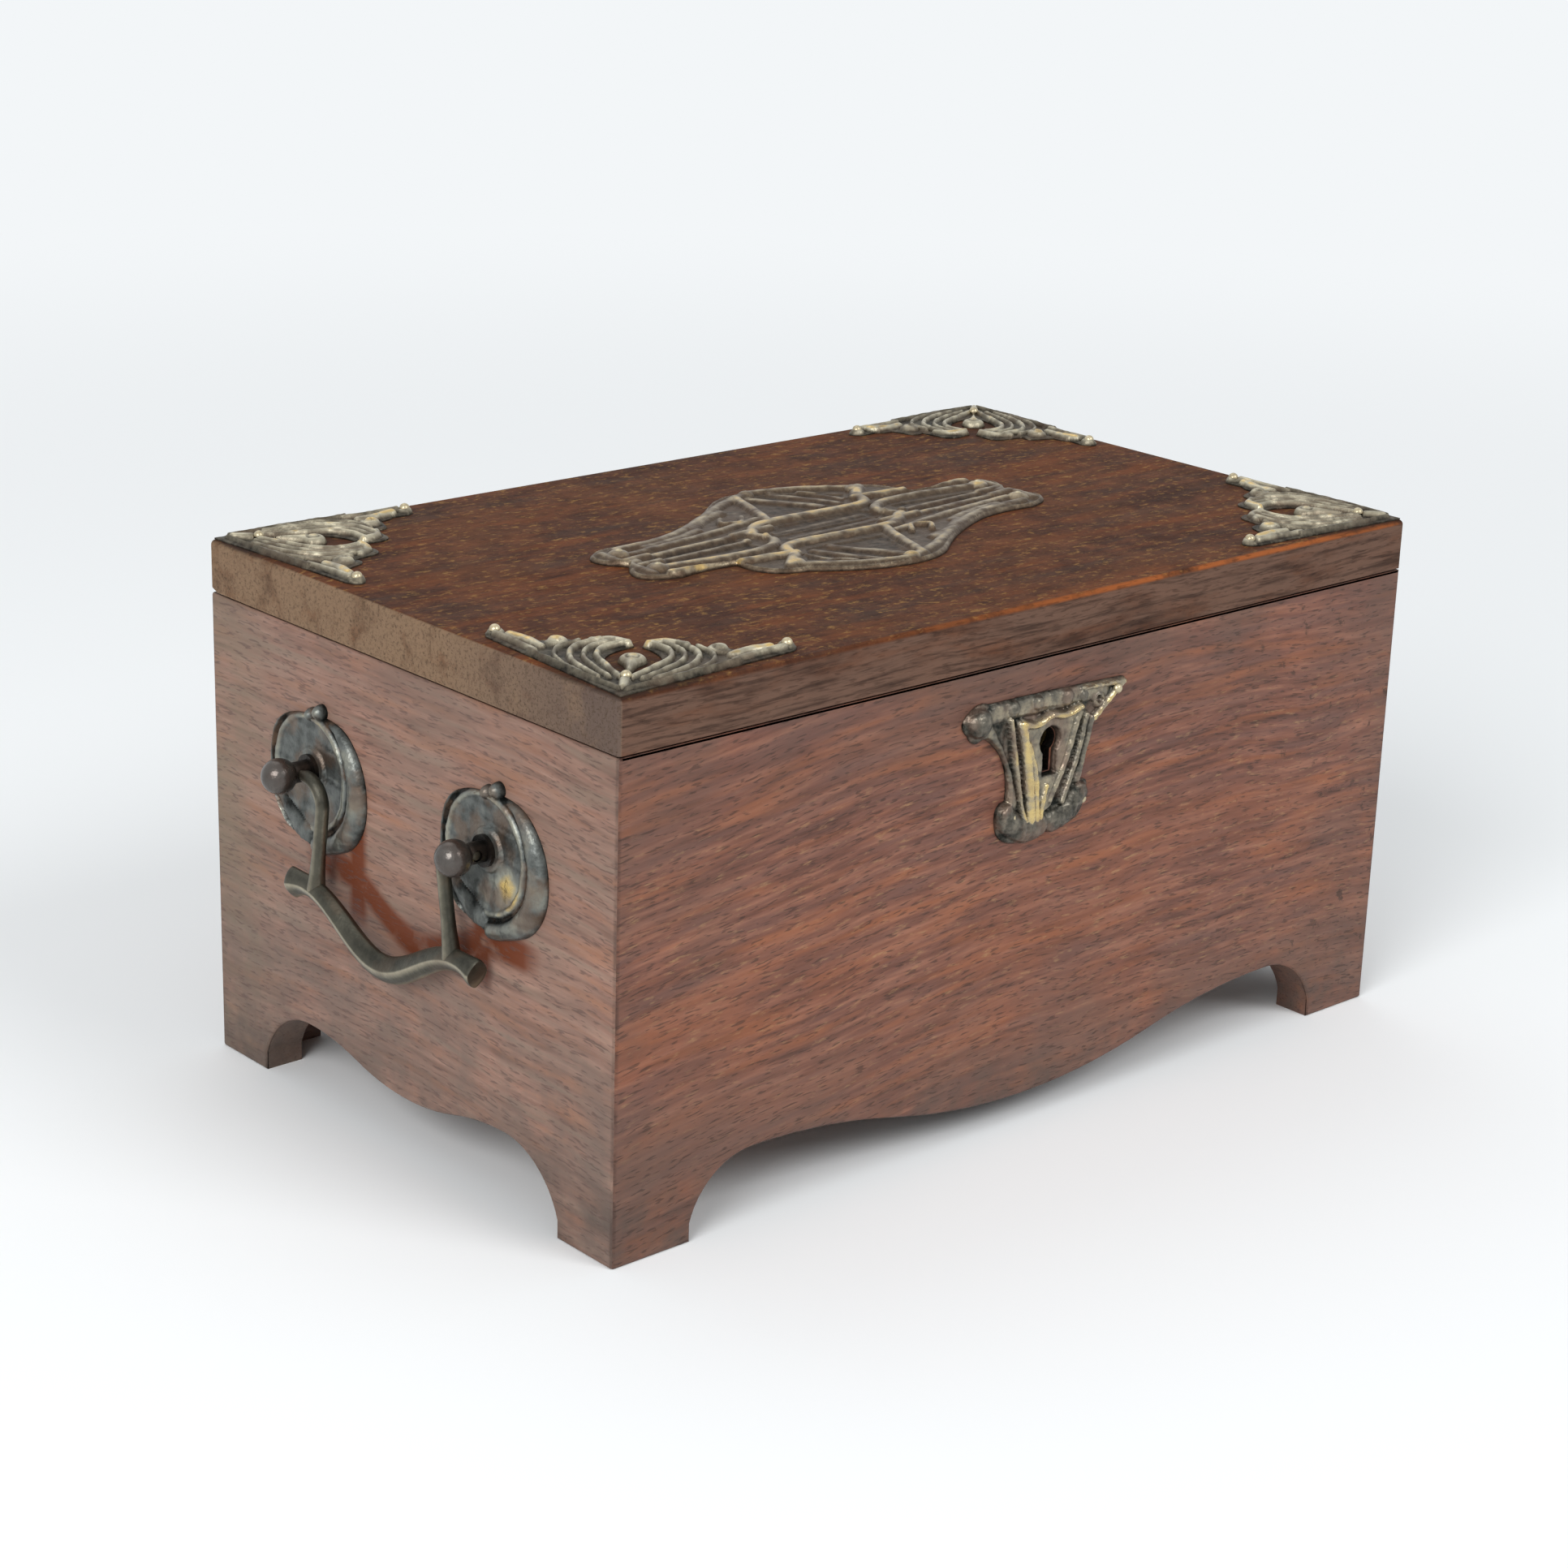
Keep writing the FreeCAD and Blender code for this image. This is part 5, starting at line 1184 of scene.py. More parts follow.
@dataclass
class CornerMounts:
    """The lid's four pressed corner mounts: two scrolled legs that meet at the corner, a bud between them.

    Thin scroll is the share of the relief that the thinnest line would have.
    """

    metal: SheetMetal = SheetMetal(
        thick=0.55, roll=0.5, left=(0.6, 0.35), skin_size=5.0, skin_depth=0.1, ground=0.06, wear=(0.8, 0.5),
        wear_size=5.0)
    inset: float = 3.0
    pitch: float = 0.28
    relief: float = 1.25
    thin_scroll: float = 0.3
    scroll_taper: Pair = (0.8, 1.0)
    curl_turns: float = 1.1
    curl_cut: float = 0.45
    curl_rub: float = 0.75
    bud_middle: float = 13.2
    bud_radius: float = 2.9
    bud_height: float = 2.2
    bud_foot: float = 0.4
    bud_stem: float = 2.2
    bud_narrowing: float = 0.3
    bud_steps: int = 60
    # The ring's radius, width and depth, and the bareness of the bud's foot, its crown and the ring.
    bud_ring: Triple = (1.25, 0.3, 0.4)
    bud_rub: Triple = (0.35, 0.5, -0.5)

    # One leg's edge from the corner to the heart.
    LEG = ((-2.2, -2.2), (44.0, 0.7, -0.5), (44.2, 5.5), (39.8, 5.2, -0.12), (35.6, 6.6), (34.0, 11.0, -0.3),
           (30.2, 12.2), (29.4, 16.8, -0.25), (25.4, 20.8), (21.4, 20.2, 0.28), (7.5, 7.5))
    # C-scrolls round the heart, each as knots, half width and bareness.
    SCROLLS = (
        (((5.6, 4.0), (13.0, 6.6), (19.4, 9.2), (22.8, 13.6), (22.8, 19.2)), 0.75, 0.75),
        (((6.8, 2.4), (14.6, 4.4), (20.8, 7.0), (24.6, 11.6), (25.2, 18.6)), 0.62, 0.6),
        (((8.4, 0.8), (16.4, 2.2), (22.4, 4.8), (26.6, 9.4), (27.4, 16.4)), 0.75, 0.75),
        (((12.6, 0.0), (19.6, 0.8), (25.0, 3.0), (28.4, 6.8), (29.0, 12.4)), 0.55, 0.55),
        (((28.4, 15.0), (26.2, 18.4), (22.2, 19.4)), 1.15, 1.0),
        (((31.0, 4.4), (35.6, 4.8), (40.4, 3.8)), 1.3, 1.0),
        (((29.0, 1.4), (36.0, 2.0), (43.0, 2.2)), 0.85, 0.65),
        (((0.4, -0.6), (14.0, -0.4), (30.0, 0.6)), 0.55, 0.25),
        (((0.6, 0.6), (3.6, 3.4)), 1.1, 0.7),
    )
    # The curl beyond the scrolls and the leaf's tip, as place, radius and share of the relief.
    CURLS = ((31.4, 8.6, 2.5, 1.25), (44.5, 3.2, 2.0, 0.9))

    def build(self) -> None:
        """Makes the four mounts, each a quarter turn from the one before."""
        brass = MOUNT_BRASS.material()
        across, back = HALF_LENGTH - self.inset, HALF_DEPTH - self.inset
        places = (("front_left", (-across, -back), (1, 0)), ("front_right", (across, -back), (0, 1)),
                  ("back_right", (across, back), (-1, 0)), ("back_left", (-across, back), (0, -1)))
        leg = bowed(self.LEG, closed=False)
        outline = np.concatenate([leg[:-1], leg[:0:-1, ::-1]])
        for name, (x, y), (along_x, along_y) in places:
            face = Face((x, y, LID_TOP), (along_x, along_y, 0), (-along_y, along_x, 0))
            shell = Sheet(outline, (), self.pitch).raised(face, self.mount_relief)
            shell += Sheet(self.bud_outline(), (), self.pitch).raised(face, self.bud_relief)
            node = f"corner_mount_{name}"
            add_piece(f"{node}_pressed", shell, brass, "lid", node)

    def bud_outline(self) -> Array:
        """Draws the bud on the diagonal, as a drop.

        Its head is a circle. Behind it the radius grows by the stem times the ninth power of minus the
        cosine, while the width narrows.

        Returns:
            The outline.
        """
        turn = np.linspace(0.0, FULL_TURN, self.bud_steps, endpoint=False)
        behind = np.clip(-np.cos(turn), 0, 1)
        along = self.bud_radius * (1 + self.bud_stem * behind ** 9) * np.cos(turn)
        side = self.bud_radius * np.sin(turn) * (1 - self.bud_narrowing * behind)
        return self.bud_middle + np.stack([along - side, along + side], axis=1) / math.sqrt(2)

    def bud_relief(self, spots: Array, edge: Array) -> tuple[Array, Array]:
        """Raises the bud: a half circle by the distance from its edge, with a ring cut round its crown.

        Args:
            spots: Points on the bud.
            edge: Their distance from its edge.

        Returns:
            Height and bareness at each spot.
        """
        radius, width, depth = self.bud_ring
        foot_rub, crown_rub, ring_rub = self.bud_rub
        dome = half_round(1 - edge / self.bud_radius)
        ring = soft_line(np.hypot(*(spots - self.bud_middle).T) - radius, width)
        heights = self.bud_foot + (self.bud_height - self.bud_foot) * dome - depth * ring
        return heights, foot_rub + crown_rub * dome ** 2 + ring_rub * ring

    def leg_relief(self, spots: Array) -> Relief:
        """Raises one leg's half-round scrolls, and its curls, whose tops are cut by a spiral.

        The spiral is the cube of a cosine wave that winds round the curl as it goes outwards.

        Args:
            spots: Points on the mount.

        Returns:
            The leg's relief.
        """
        leg = Relief(np.zeros(len(spots)), np.zeros(len(spots)))
        for knots, half_width, rub in self.SCROLLS:
            height = self.relief * min(1.0, self.thin_scroll + half_width)
            bead = ridge(spots, knots, half_width, height, self.scroll_taper)
            leg.lay(bead, rub * bead / self.relief)
        for x, y, radius, share in self.CURLS:
            off = spots - (x, y)
            turns = FULL_TURN * self.curl_turns * np.hypot(*off.T) / radius
            coil = 0.5 + 0.5 * np.cos(np.arctan2(off[:, 1], off[:, 0]) - turns)
            dome = boss(spots, x, y, radius, self.relief * share) * (1 - self.curl_cut * coil ** 3)
            leg.lay(dome, self.curl_rub * dome / self.relief)
        return leg

    def mount_relief(self, spots: Array, edge: Array) -> tuple[Array, Array]:
        """Raises the mount: a thin sheet with the same relief on both legs, mirrored in the diagonal.

        Args:
            spots: Points on the mount.
            edge: Their distance from its edge.

        Returns:
            Height and bareness at each spot.
        """
        leg, other = self.leg_relief(spots), self.leg_relief(spots[:, ::-1])
        both = Relief(np.maximum(leg.height, other.height), np.maximum(leg.bare, other.bare))
        return self.metal.height(both, spots, edge), self.metal.bare(both, spots)


@dataclass
class CentreMount:
    """The lid's pressed centre mount: a forked lozenge of straps round a plain six-sided field."""

    metal: SheetMetal = SheetMetal(
        thick=0.75, roll=0.6, left=(0.6, 0.35), skin_size=6.4, skin_depth=0.08, ground=0.22, wear=(0.75, 0.6),
        wear_size=6.0)
    pitch: float = 0.34
    well_floor: float = 0.35
    well_slope: float = 0.7
    well_grime: float = 0.09
    relief: float = 1.15
    strap_fall: int = 4
    knob_share: float = 1.2
    knob_rub: float = 0.6
    # The rim's distance from the edge, its width, height and bareness.
    rim: Sizes = (0.6, 0.45, 0.35, 0.7)

    # Half of each set of lines in millimetres; the other half is these after a half turn.
    EDGE = ((52.9, -13.1, -0.45), (57.0, 0.0, -0.45), (52.9, 13.1, 0.05), (37.2, 12.4, -0.25),
            (27.1, 24.9, -0.08), (3.8, 33.6, -0.1), (-12.0, 27.6, 0.04), (-35.9, 14.1, 0.05), (-52.9, 13.1))
    WELLS = (((-5.4, 13.2), (17.4, 12.4), (23.4, 19.4), (8.6, 29.2), (0.4, 28.8)),
             ((24.5, -5.8), (50.0, -3.8), (50.0, 3.8), (24.5, 5.8)),
             ((-17.0, 0.0), (-9.5, 6.2), (16.0, 6.4), (19.5, 1.0), (17.0, 0.0)))
    # Straps and leaves as knots, half width, share of the relief and bareness.
    STRAPS = (
        (((-20.5, 2.6), (-10.5, 8.6), (18.0, 8.8), (24.0, 16.2), (29.5, 21.5)), 1.7, 1.0, 1.0),
        (((-53.0, 9.8), (-38.0, 11.4), (-24.0, 17.4), (-8.0, 27.0), (3.0, 31.2)), 1.5, 0.75, 0.5),
        (((-9.0, 10.2), (-6.4, 16.0), (-1.6, 29.8)), 1.5, 0.9, 0.7),
        (((-57.0, 1.4), (-12.5, 5.2)), 1.35, 0.85, 0.65),
        (((-52.0, 5.4), (-28.0, 8.6), (-10.0, 12.6)), 1.3, 0.7, 0.5),
        (((-56.0, -2.6), (-24.0, -0.6)), 1.2, 0.65, 0.45),
        (((-54.4, -11.4), (-31.7, -13.6), (-22.0, -14.6)), 1.5, 0.95, 1.0),
        (((-53.0, -7.0), (-36.0, -8.6), (-24.0, -7.6), (-18.5, -3.0), (-20.5, 2.6)), 1.5, 0.85, 0.6),
        (((57.6, -8.8), (57.6, -1.4), (55.0, 0.0), (57.6, 1.4), (57.6, 8.8)), 1.4, 0.7, 0.4),
        (((1.4, 27.6), (6.4, 21.0), (11.0, 14.0)), 1.7, 0.6, 0.5),
        (((8.4, 28.4), (13.0, 21.6), (16.6, 14.4)), 1.4, 0.5, 0.42),
        (((15.0, 26.0), (18.4, 21.0), (20.0, 16.6)), 1.1, 0.45, 0.4),
        (((-12.4, 15.0), (-15.6, 11.6), (-19.4, 13.4), (-17.6, 16.2)), 0.9, 0.9, 0.7),
        (((-13.4, 21.6), (-20.0, 19.6), (-28.0, 14.6)), 2.0, 0.65, 0.45),
        (((-27.0, 12.8), (-36.0, 9.8), (-46.0, 8.4)), 1.4, 0.5, 0.4),
        (((27.0, 22.6), (16.0, 28.6), (3.6, 32.0)), 1.3, 0.8, 0.6),
        (((-14.0, 1.6), (0.0, 2.6), (13.5, 3.4)), 1.2, 0.25, 0.25),
    )
    # Knobs as place and radius; the first two are under the pins.
    KNOBS = ((54.5, 6.7, 2.6), (54.5, -6.7, 2.6), (27.4, 20.6, 2.4), (2.6, 30.8, 2.0), (18.6, 1.0, 1.5))

    def build(self) -> None:
        """Makes the mount."""
        half = bowed(self.EDGE, closed=False)[:-1]
        face = Face((0, 0, LID_TOP), (1, 0, 0), (0, 1, 0))
        shell = Sheet(np.concatenate([half, -half]), (), self.pitch).raised(face, self.mount_relief)
        brass = CENTRE_BRASS.material()
        add_piece("centre_mount_pressed", shell, brass, "lid", "centre_mount")

    def mount_relief(self, spots: Array, edge: Array) -> tuple[Array, Array]:
        """Raises the mount: a sheet with sunk fields, crossed by a soft rim, half-round straps and knobs.

        Args:
            spots: Points on the mount.
            edge: Their distance from its edge.

        Returns:
            Height and bareness at each spot.
        """
        rim_in, rim_width, rim_height, rim_rub = self.rim
        rim = rim_height * soft_line(edge - rim_in, rim_width)
        mount = Relief(rim, rim_rub * rim)
        sunk = np.zeros(len(spots))
        for side in (1, -1):
            turned_spots = spots * side
            for corners in self.WELLS:
                sunk = np.maximum(sunk, field(turned_spots, corners, self.well_slope))
            for knots, half_width, share, rub in self.STRAPS:
                strap = ridge(turned_spots, knots, half_width, self.relief * share)
                mount.lay(strap, rub * (strap / (self.relief * share)) ** self.strap_fall)
            for x, y, radius in self.KNOBS:
                knob = boss(turned_spots, x, y, radius, self.relief * self.knob_share)
                mount.lay(knob, self.knob_rub * knob / self.relief)
        heights = self.metal.height(mount, spots, edge) - (self.metal.thick - self.well_floor) * sunk
        return heights, self.metal.bare(mount, spots) - self.well_grime * sunk


@dataclass
class Escutcheon:
    """The cast keyhole plate: a shield with a bulbed and a pointed wing, a ridged panel and a lobed foot."""

    metal: SheetMetal = SheetMetal(
        thick=0.9, roll=0.6, left=(0.5, 0.3), skin_size=2.6, skin_depth=0.12, ground=0.1, wear=(0.85, 0.3),
        wear_size=4.6)
    pitch: float = 0.22
    keyhole_height: float = 89.2
    hole_radius: float = 2.9
    hole_steps: int = 40
    slot_half_width: float = 1.8
    slot_drop: float = 7.4
    panel: float = 0.8
    panel_slope: float = 0.8
    panel_rub: float = 0.42
    ridge_fall: float = 1.2
    skin_rub: float = 0.1
    dimple_grime: float = 0.5
    # How much darker the brass is round the keyhole, and over what width.
    hole_darkening: float = 0.7
    hole_darkening_width: float = 0.45

    # The edge from the notch in the foot round by the right, about the keyhole's centre.
    EDGE = ((-0.6, -20.2, -0.16), (6.4, -20.8, -0.22), (12.9, -14.2, -0.4), (10.6, -11.2, 0.06),
            (13.6, 0.4, 0.02), (22.8, 8.6, -0.5), (22.0, 10.2), (0.0, 10.9), (-18.0, 11.2, -0.14),
            (-23.6, 10.4, -0.34), (-24.0, 5.2, -0.3), (-19.4, 4.0, 0.16), (-11.8, -11.6, -0.2),
            (-14.6, -14.0, -0.26), (-7.6, -21.8, -0.18))
    PANEL = ((-10.6, 6.6), (-3.6, -18.0), (1.6, -15.2), (10.6, 5.2))
    # Ridges as knots, half width, height and bareness: rails, lobes, bar, gilt ridges and dull ridges.
    RIDGES = (
        (((-19.0, 5.6), (-15.6, 0.0), (-12.9, -6.0), (-10.9, -12.0)), 1.9, 1.1, 0.36),
        (((-1.8, -19.0), (-6.6, -18.8), (-11.2, -16.2), (-12.8, -13.8)), 2.9, 1.7, 0.16),
        (((0.8, -18.8), (6.0, -17.6), (10.0, -14.0)), 2.7, 1.6, 0.1),
        (((-17.0, 8.8), (0.0, 8.7), (16.0, 8.5)), 2.0, 0.6, 0.52),
        (((-12.5, 7.0), (-10.4, -3.0), (-8.0, -13.6), (-6.4, -16.8)), 0.62, 1.5, 0.7),
        (((-9.0, 5.2), (-7.4, -1.0), (-6.4, -6.0), (-5.0, -16.6)), 1.5, 1.9, 1.0),
        (((-7.0, 0.6), (-4.6, -6.0), (-4.0, -11.0), (-3.3, -16.8)), 1.0, 1.7, 0.95),
        (((-1.0, -9.8), (-1.8, -13.0), (-2.3, -16.8)), 0.75, 1.7, 0.95),
        (((-9.2, 5.6), (-5.0, 4.6), (-0.6, 6.0), (3.6, 5.2), (8.2, 6.2)), 1.0, 2.1, 1.0),
        (((8.2, 5.0), (4.8, -5.0), (0.4, -13.4)), 0.85, 1.5, 0.5),
        (((6.2, 3.4), (3.2, -5.4), (-0.6, -13.0)), 0.6, 1.1, 0.42),
        (((10.6, 4.0), (8.4, -4.6), (4.4, -14.6)), 0.75, 1.4, 0.4),
        (((12.6, 2.6), (11.0, -4.6), (9.0, -10.6)), 0.9, 1.0, 0.3),
        (((13.6, 2.6), (18.0, 6.2), (22.2, 9.2)), 0.95, 1.0, 0.85),
        (((10.0, 10.0), (17.0, 9.6), (22.2, 9.4)), 0.8, 0.9, 0.8),
    )
    # Bulbs as place, radius, height and bareness, and the dimple as place, radius and depth.
    BULBS = ((-21.4, 7.8, 3.3, 2.6, 0.22), (14.4, 6.6, 1.9, 1.4, 0.5), (-4.4, 9.2, 1.7, 1.5, 0.4),
             (4.6, 8.8, 2.0, 1.5, 0.42), (-11.6, 9.2, 1.9, 1.5, 0.34), (9.6, 8.2, 1.5, 1.3, 0.36))
    DIMPLE = (14.2, 6.8, 0.9, 1.3)

    def build(self) -> None:
        """Makes the plate with its keyhole."""
        face = Face((0, -HALF_DEPTH, self.keyhole_height), (1, 0, 0), (0, 0, 1))
        shell = Sheet(bowed(self.EDGE), (self.keyhole(),), self.pitch).raised(face, self.plate_relief)
        add_piece("escutcheon_cast", shell, SHIELD_BRASS.material(), "case", "escutcheon")

    def keyhole(self) -> Array:
        """Draws the keyhole: a round eye whose lower part opens into a straight slot.

        Returns:
            The outline.
        """
        spread = math.asin(self.slot_half_width / self.hole_radius)
        turn = np.linspace(-math.pi / 2 + spread, 3 * math.pi / 2 - spread, self.hole_steps)
        eye = self.hole_radius * np.stack([np.cos(turn), np.sin(turn)], axis=1)
        slot = np.array([(-self.slot_half_width, -self.slot_drop), (self.slot_half_width, -self.slot_drop)])
        return np.concatenate([eye, slot])

    def plate_relief(self, spots: Array, edge: Array) -> tuple[Array, Array]:
        """Raises the plate: a sheet with a raised panel, half-round ridges, bulbs and a dimple.

        Args:
            spots: Points on the plate.
            edge: Their distance from its edge.

        Returns:
            Height and bareness at each spot.
        """
        panel = field(spots, self.PANEL, self.panel_slope)
        shield = Relief(self.panel * panel, self.panel_rub * panel)
        for knots, half_width, height, rub in self.RIDGES:
            bead = ridge(spots, knots, half_width, height)
            shield.lay(bead, rub * (bead / height) ** self.ridge_fall)
        for x, y, radius, height, rub in self.BULBS:
            bulb = boss(spots, x, y, radius, height)
            shield.lay(bulb, rub * bulb / height)
        x, y, radius, drop = self.DIMPLE
        dent = boss(spots, x, y, radius, height=1.0)
        heights = self.metal.height(shield, spots, edge) - drop * dent * rolled(edge, self.metal.roll, 0.0)
        # Darker round the keyhole's edge.
        darkening = soft_line(nearest_on(ringed(self.keyhole()), spots)[0], self.hole_darkening_width)
        bare = self.metal.bare(shield, spots) + self.skin_rub * uneven(spots, self.metal.skin_size)
        return heights, bare - self.dimple_grime * dent - self.hole_darkening * darkening


@dataclass
class Handle:
    """One end's handle: two cast back plates, two ball-headed posts and the bow-shaped bail between them."""

    side: str
    outward: int
    post_half: float = 31.25
    post_height: float = 78.2
    axis_off: float = 5.0

    # The plate: its rolled edge, and the size and depth of its uneven skin and of its wear.
    pitch: float = 0.28
    edge_steps: int = 6
    roll: float = 0.5
    left: float = 0.5
    skin: Pair = (4.4, 0.14)
    wear: Pair = (7.0, 0.14)
    # The boss under the post: radius, height, slope. The dish round it: floor, rise, start and width.
    boss: Triple = (4.6, 1.6, 0.6)
    dish: Sizes = (0.8, 0.35, 5.0, 7.0)
    # The bead and the groove round the dish, as radius, half width and height or depth.
    ring_middle: Pair = (-0.5, -1.0)
    bead: Triple = (12.6, 0.7, 0.5)
    groove: Triple = (14.0, 0.55, 0.35)
    # The crescent's foot, height, full width and least share, and the powers of its swell.
    crescent: Sizes = (0.7, 1.7, 4.5, 0.45)
    crescent_powers: Pair = (0.8, 0.7)
    # The leaf's half width, height, foot, where it starts to show, and what is left of the plate beneath it.
    leaf: Sizes = (3.0, 1.5, 0.6, 0.05, 0.6)
    leaf_taper: Pair = (0.55, 1.0)
    # Bareness of each form where it is low, and what its height adds; the groove's grime; the finger's mark.
    crescent_rub: Pair = (0.2, 0.22)
    dish_rub: Pair = (0.26, 0.3)
    leaf_rub: Pair = (0.02, 0.24)
    groove_grime: float = 0.6
    finger_spot: Pair = (6.6, -6.6)
    finger_width: float = 3.6
    finger_rub: float = 0.8
    finial_rub: float = 0.4
    finial_steps: int = 9
    finial_round: float = 0.96

    # The bail's pegs: start, end and radius, how far they are let into the arms, and their blunt ends.
    peg: Triple = (28.15, 33.15, 1.1)
    peg_sunk: float = 0.2
    peg_tip: Pair = (0.3, 0.8)
    # Its arms: from the shoulder at the peg round a bend to the foot, where they swell.
    shoulder: float = 1.0
    shoulder_share: float = 0.85
    arm_radius: float = 1.5
    arm_depth: float = 1.05
    arm_bend: float = 5.5
    arm_steps: int = 14
    straight_from: float = 0.1
    arm_foot: Pair = (24.55, 24.6)
    arm_swell: Pair = (0.72, 0.4)
    arm_sharp: float = 1.12
    # Its grip: distances of the crest and the tip from the middle, and sizes at the middle, crest and tip.
    crest: float = 27.4
    tip: float = 33.2
    blunt: Pair = (0.6, 0.12)
    grip_drop: Triple = (34.6, 24.6, 25.5)
    grip_wide: Triple = (3.1, 2.5, 3.7)
    grip_deep: Triple = (2.6, 2.2, 2.8)
    grip_sharp: float = 1.35
    grip_steps: int = 121
    grip_around: int = 28
    grip_rub: float = 0.55
    arm_rub: float = 0.35
    peg_rub: float = 0.2

    # The plate's edge round the post, from the notch under the leaf and round by the right.
    EDGE = ((-1.4, -17.2), (0.6, -19.2), (5.4, -18.2), (13.0, -15.0), (17.6, -9.6), (19.0, -3.0), (17.4, 4.2),
            (12.6, 10.0), (6.4, 12.1), (-1.0, 11.8), (-8.4, 10.6), (-13.6, 7.6), (-15.9, 1.6), (-15.9, -5.4),
            (-13.6, -11.8), (-9.0, -15.8), (-1.4, -17.2))
    LEAF = ((-12.4, -8.6), (-8.2, -12.0), (-2.4, -15.6))
    # The finial's two beads, as place, radius and height.
    FINIAL = ((-0.4, 12.0, 1.6, 2.4), (3.0, 13.3, 1.8, 2.7))

    def build(self) -> None:
        """Makes the plates and the bail and dresses the posts and nuts."""
        brass = PLATE_BRASS.material()
        for end, place in (("front", -1), ("back", 1)):
            post = (self.outward * HALF_LENGTH, place * self.post_half, self.post_height)
            face = Face(post, (0, self.outward, 0), (0, 0, 1))
            name = f"{self.side}_plate_{end}"
            add_piece(f"{name}_cast", self.plate(face, end == "front"), brass, "case", name)
        name = f"{self.side}_bail"
        add_piece(f"{name}_cast", self.bail(), BAIL_BRASS.material(), name, name)
        dress(POST_BRASS.material(), f"{self.side}_post_front", f"{self.side}_post_back")
        dress(SCREW_STEEL.material(), f"{self.side}_nuts")

    def plate(self, face: Face, rubbed: bool) -> Shell:
        """Makes a back plate of a raised sheet and a finial of two beads.

        Args:
            face: The end board's face round the post.
            rubbed: Whether fingers have rubbed its dish golden.

        Returns:
            The plate.
        """
        outline = flowing(self.EDGE, self.edge_steps)[:-1]
        shell = Sheet(outline, (), self.pitch).raised(face, self.plate_relief)
        if rubbed:
            across, up = face.place(np.array([self.finger_spot]), np.zeros(1))[0, 1:]
            near = np.hypot(shell.vertices[:, 1] - across, shell.vertices[:, 2] - up)
            shell.rub = shell.rub + self.finger_rub * soft_line(near, self.finger_width)
        turn = np.linspace(0.0, math.pi / 2 * self.finial_round, self.finial_steps)
        for x, y, radius, height in self.FINIAL:
            bead = np.stack([radius * np.cos(turn), height * np.sin(turn)], axis=1)
            shell += turned(face, x, y, bead, self.finial_rub * np.sin(turn))
        return shell

    def plate_relief(self, spots: Array, edge: Array) -> tuple[Array, Array]:
        """Height and bareness of a plate.

        Inside the groove's circle it is a dish with a bead near its edge and a boss under the post. Outside,
        a band swells to the edge: its height follows half a sine of the share of the way from the groove to
        the edge, so it is a crescent, wide at the right and thin at the left. A leaf curls over the groove at
        the lower left.

        Args:
            spots: Points round the post.
            edge: Their distance from the edge.

        Returns:
            Height and bareness at each spot.
        """
        ring = np.hypot(*(spots - self.ring_middle).T)
        radius, half_width, height = self.bead
        bead = half_round((ring - radius) / half_width)
        floor, rise, start, width = self.dish
        dish = floor + rise * eased((ring - start) / width) + height * bead
        radius, height, slope = self.boss
        middle = height * eased((radius + slope - np.hypot(*spots.T)) / slope)
        radius, half_width, depth = self.groove
        past = ring - radius
        groove = soft_line(past, half_width)
        foot, height, full, least = self.crescent
        inner, outer = self.crescent_powers
        width = np.maximum(past + edge, NEAR_ZERO)
        swell = np.sin(math.pi * np.clip(past / width, 0.0, 1.0) ** inner) ** outer
        swell = swell * np.clip(width / full, least, 1.0)
        heights = np.where(past > 0, foot + height * swell, np.maximum(dish, middle)) - depth * groove
        (rim_low, rim_high), (dish_low, dish_high), (leaf_low, leaf_high) = (
            self.crescent_rub, self.dish_rub, self.leaf_rub)
        bare = np.where(past > 0, rim_low + rim_high * swell, dish_low + dish_high * bead)
        bare = bare - self.groove_grime * groove
        half_width, height, foot, shows, beneath = self.leaf
        leaf = ridge(spots, self.LEAF, half_width, height, self.leaf_taper)
        bare = np.where(leaf > shows, leaf_low + leaf_high * (leaf / height) ** 2, bare)
        heights = np.where(leaf > shows, np.maximum(heights * beneath, foot + leaf), heights)
        (skin_size, skin_depth), (wear_size, wear_depth) = self.skin, self.wear
        heights = (heights + skin_depth * uneven(spots, skin_size)) * rolled(edge, self.roll, self.left)
        return heights, bare + wear_depth * uneven(spots, wear_size)

    def lift(self, line: Array) -> Array:
        """Puts points drawn as distance along the end and drop below the posts into the box's frame."""
        x = np.full(len(line), self.outward * (HALF_LENGTH + self.axis_off))
        return np.stack([x, line[:, 0], self.post_height - line[:, 1]], axis=1)

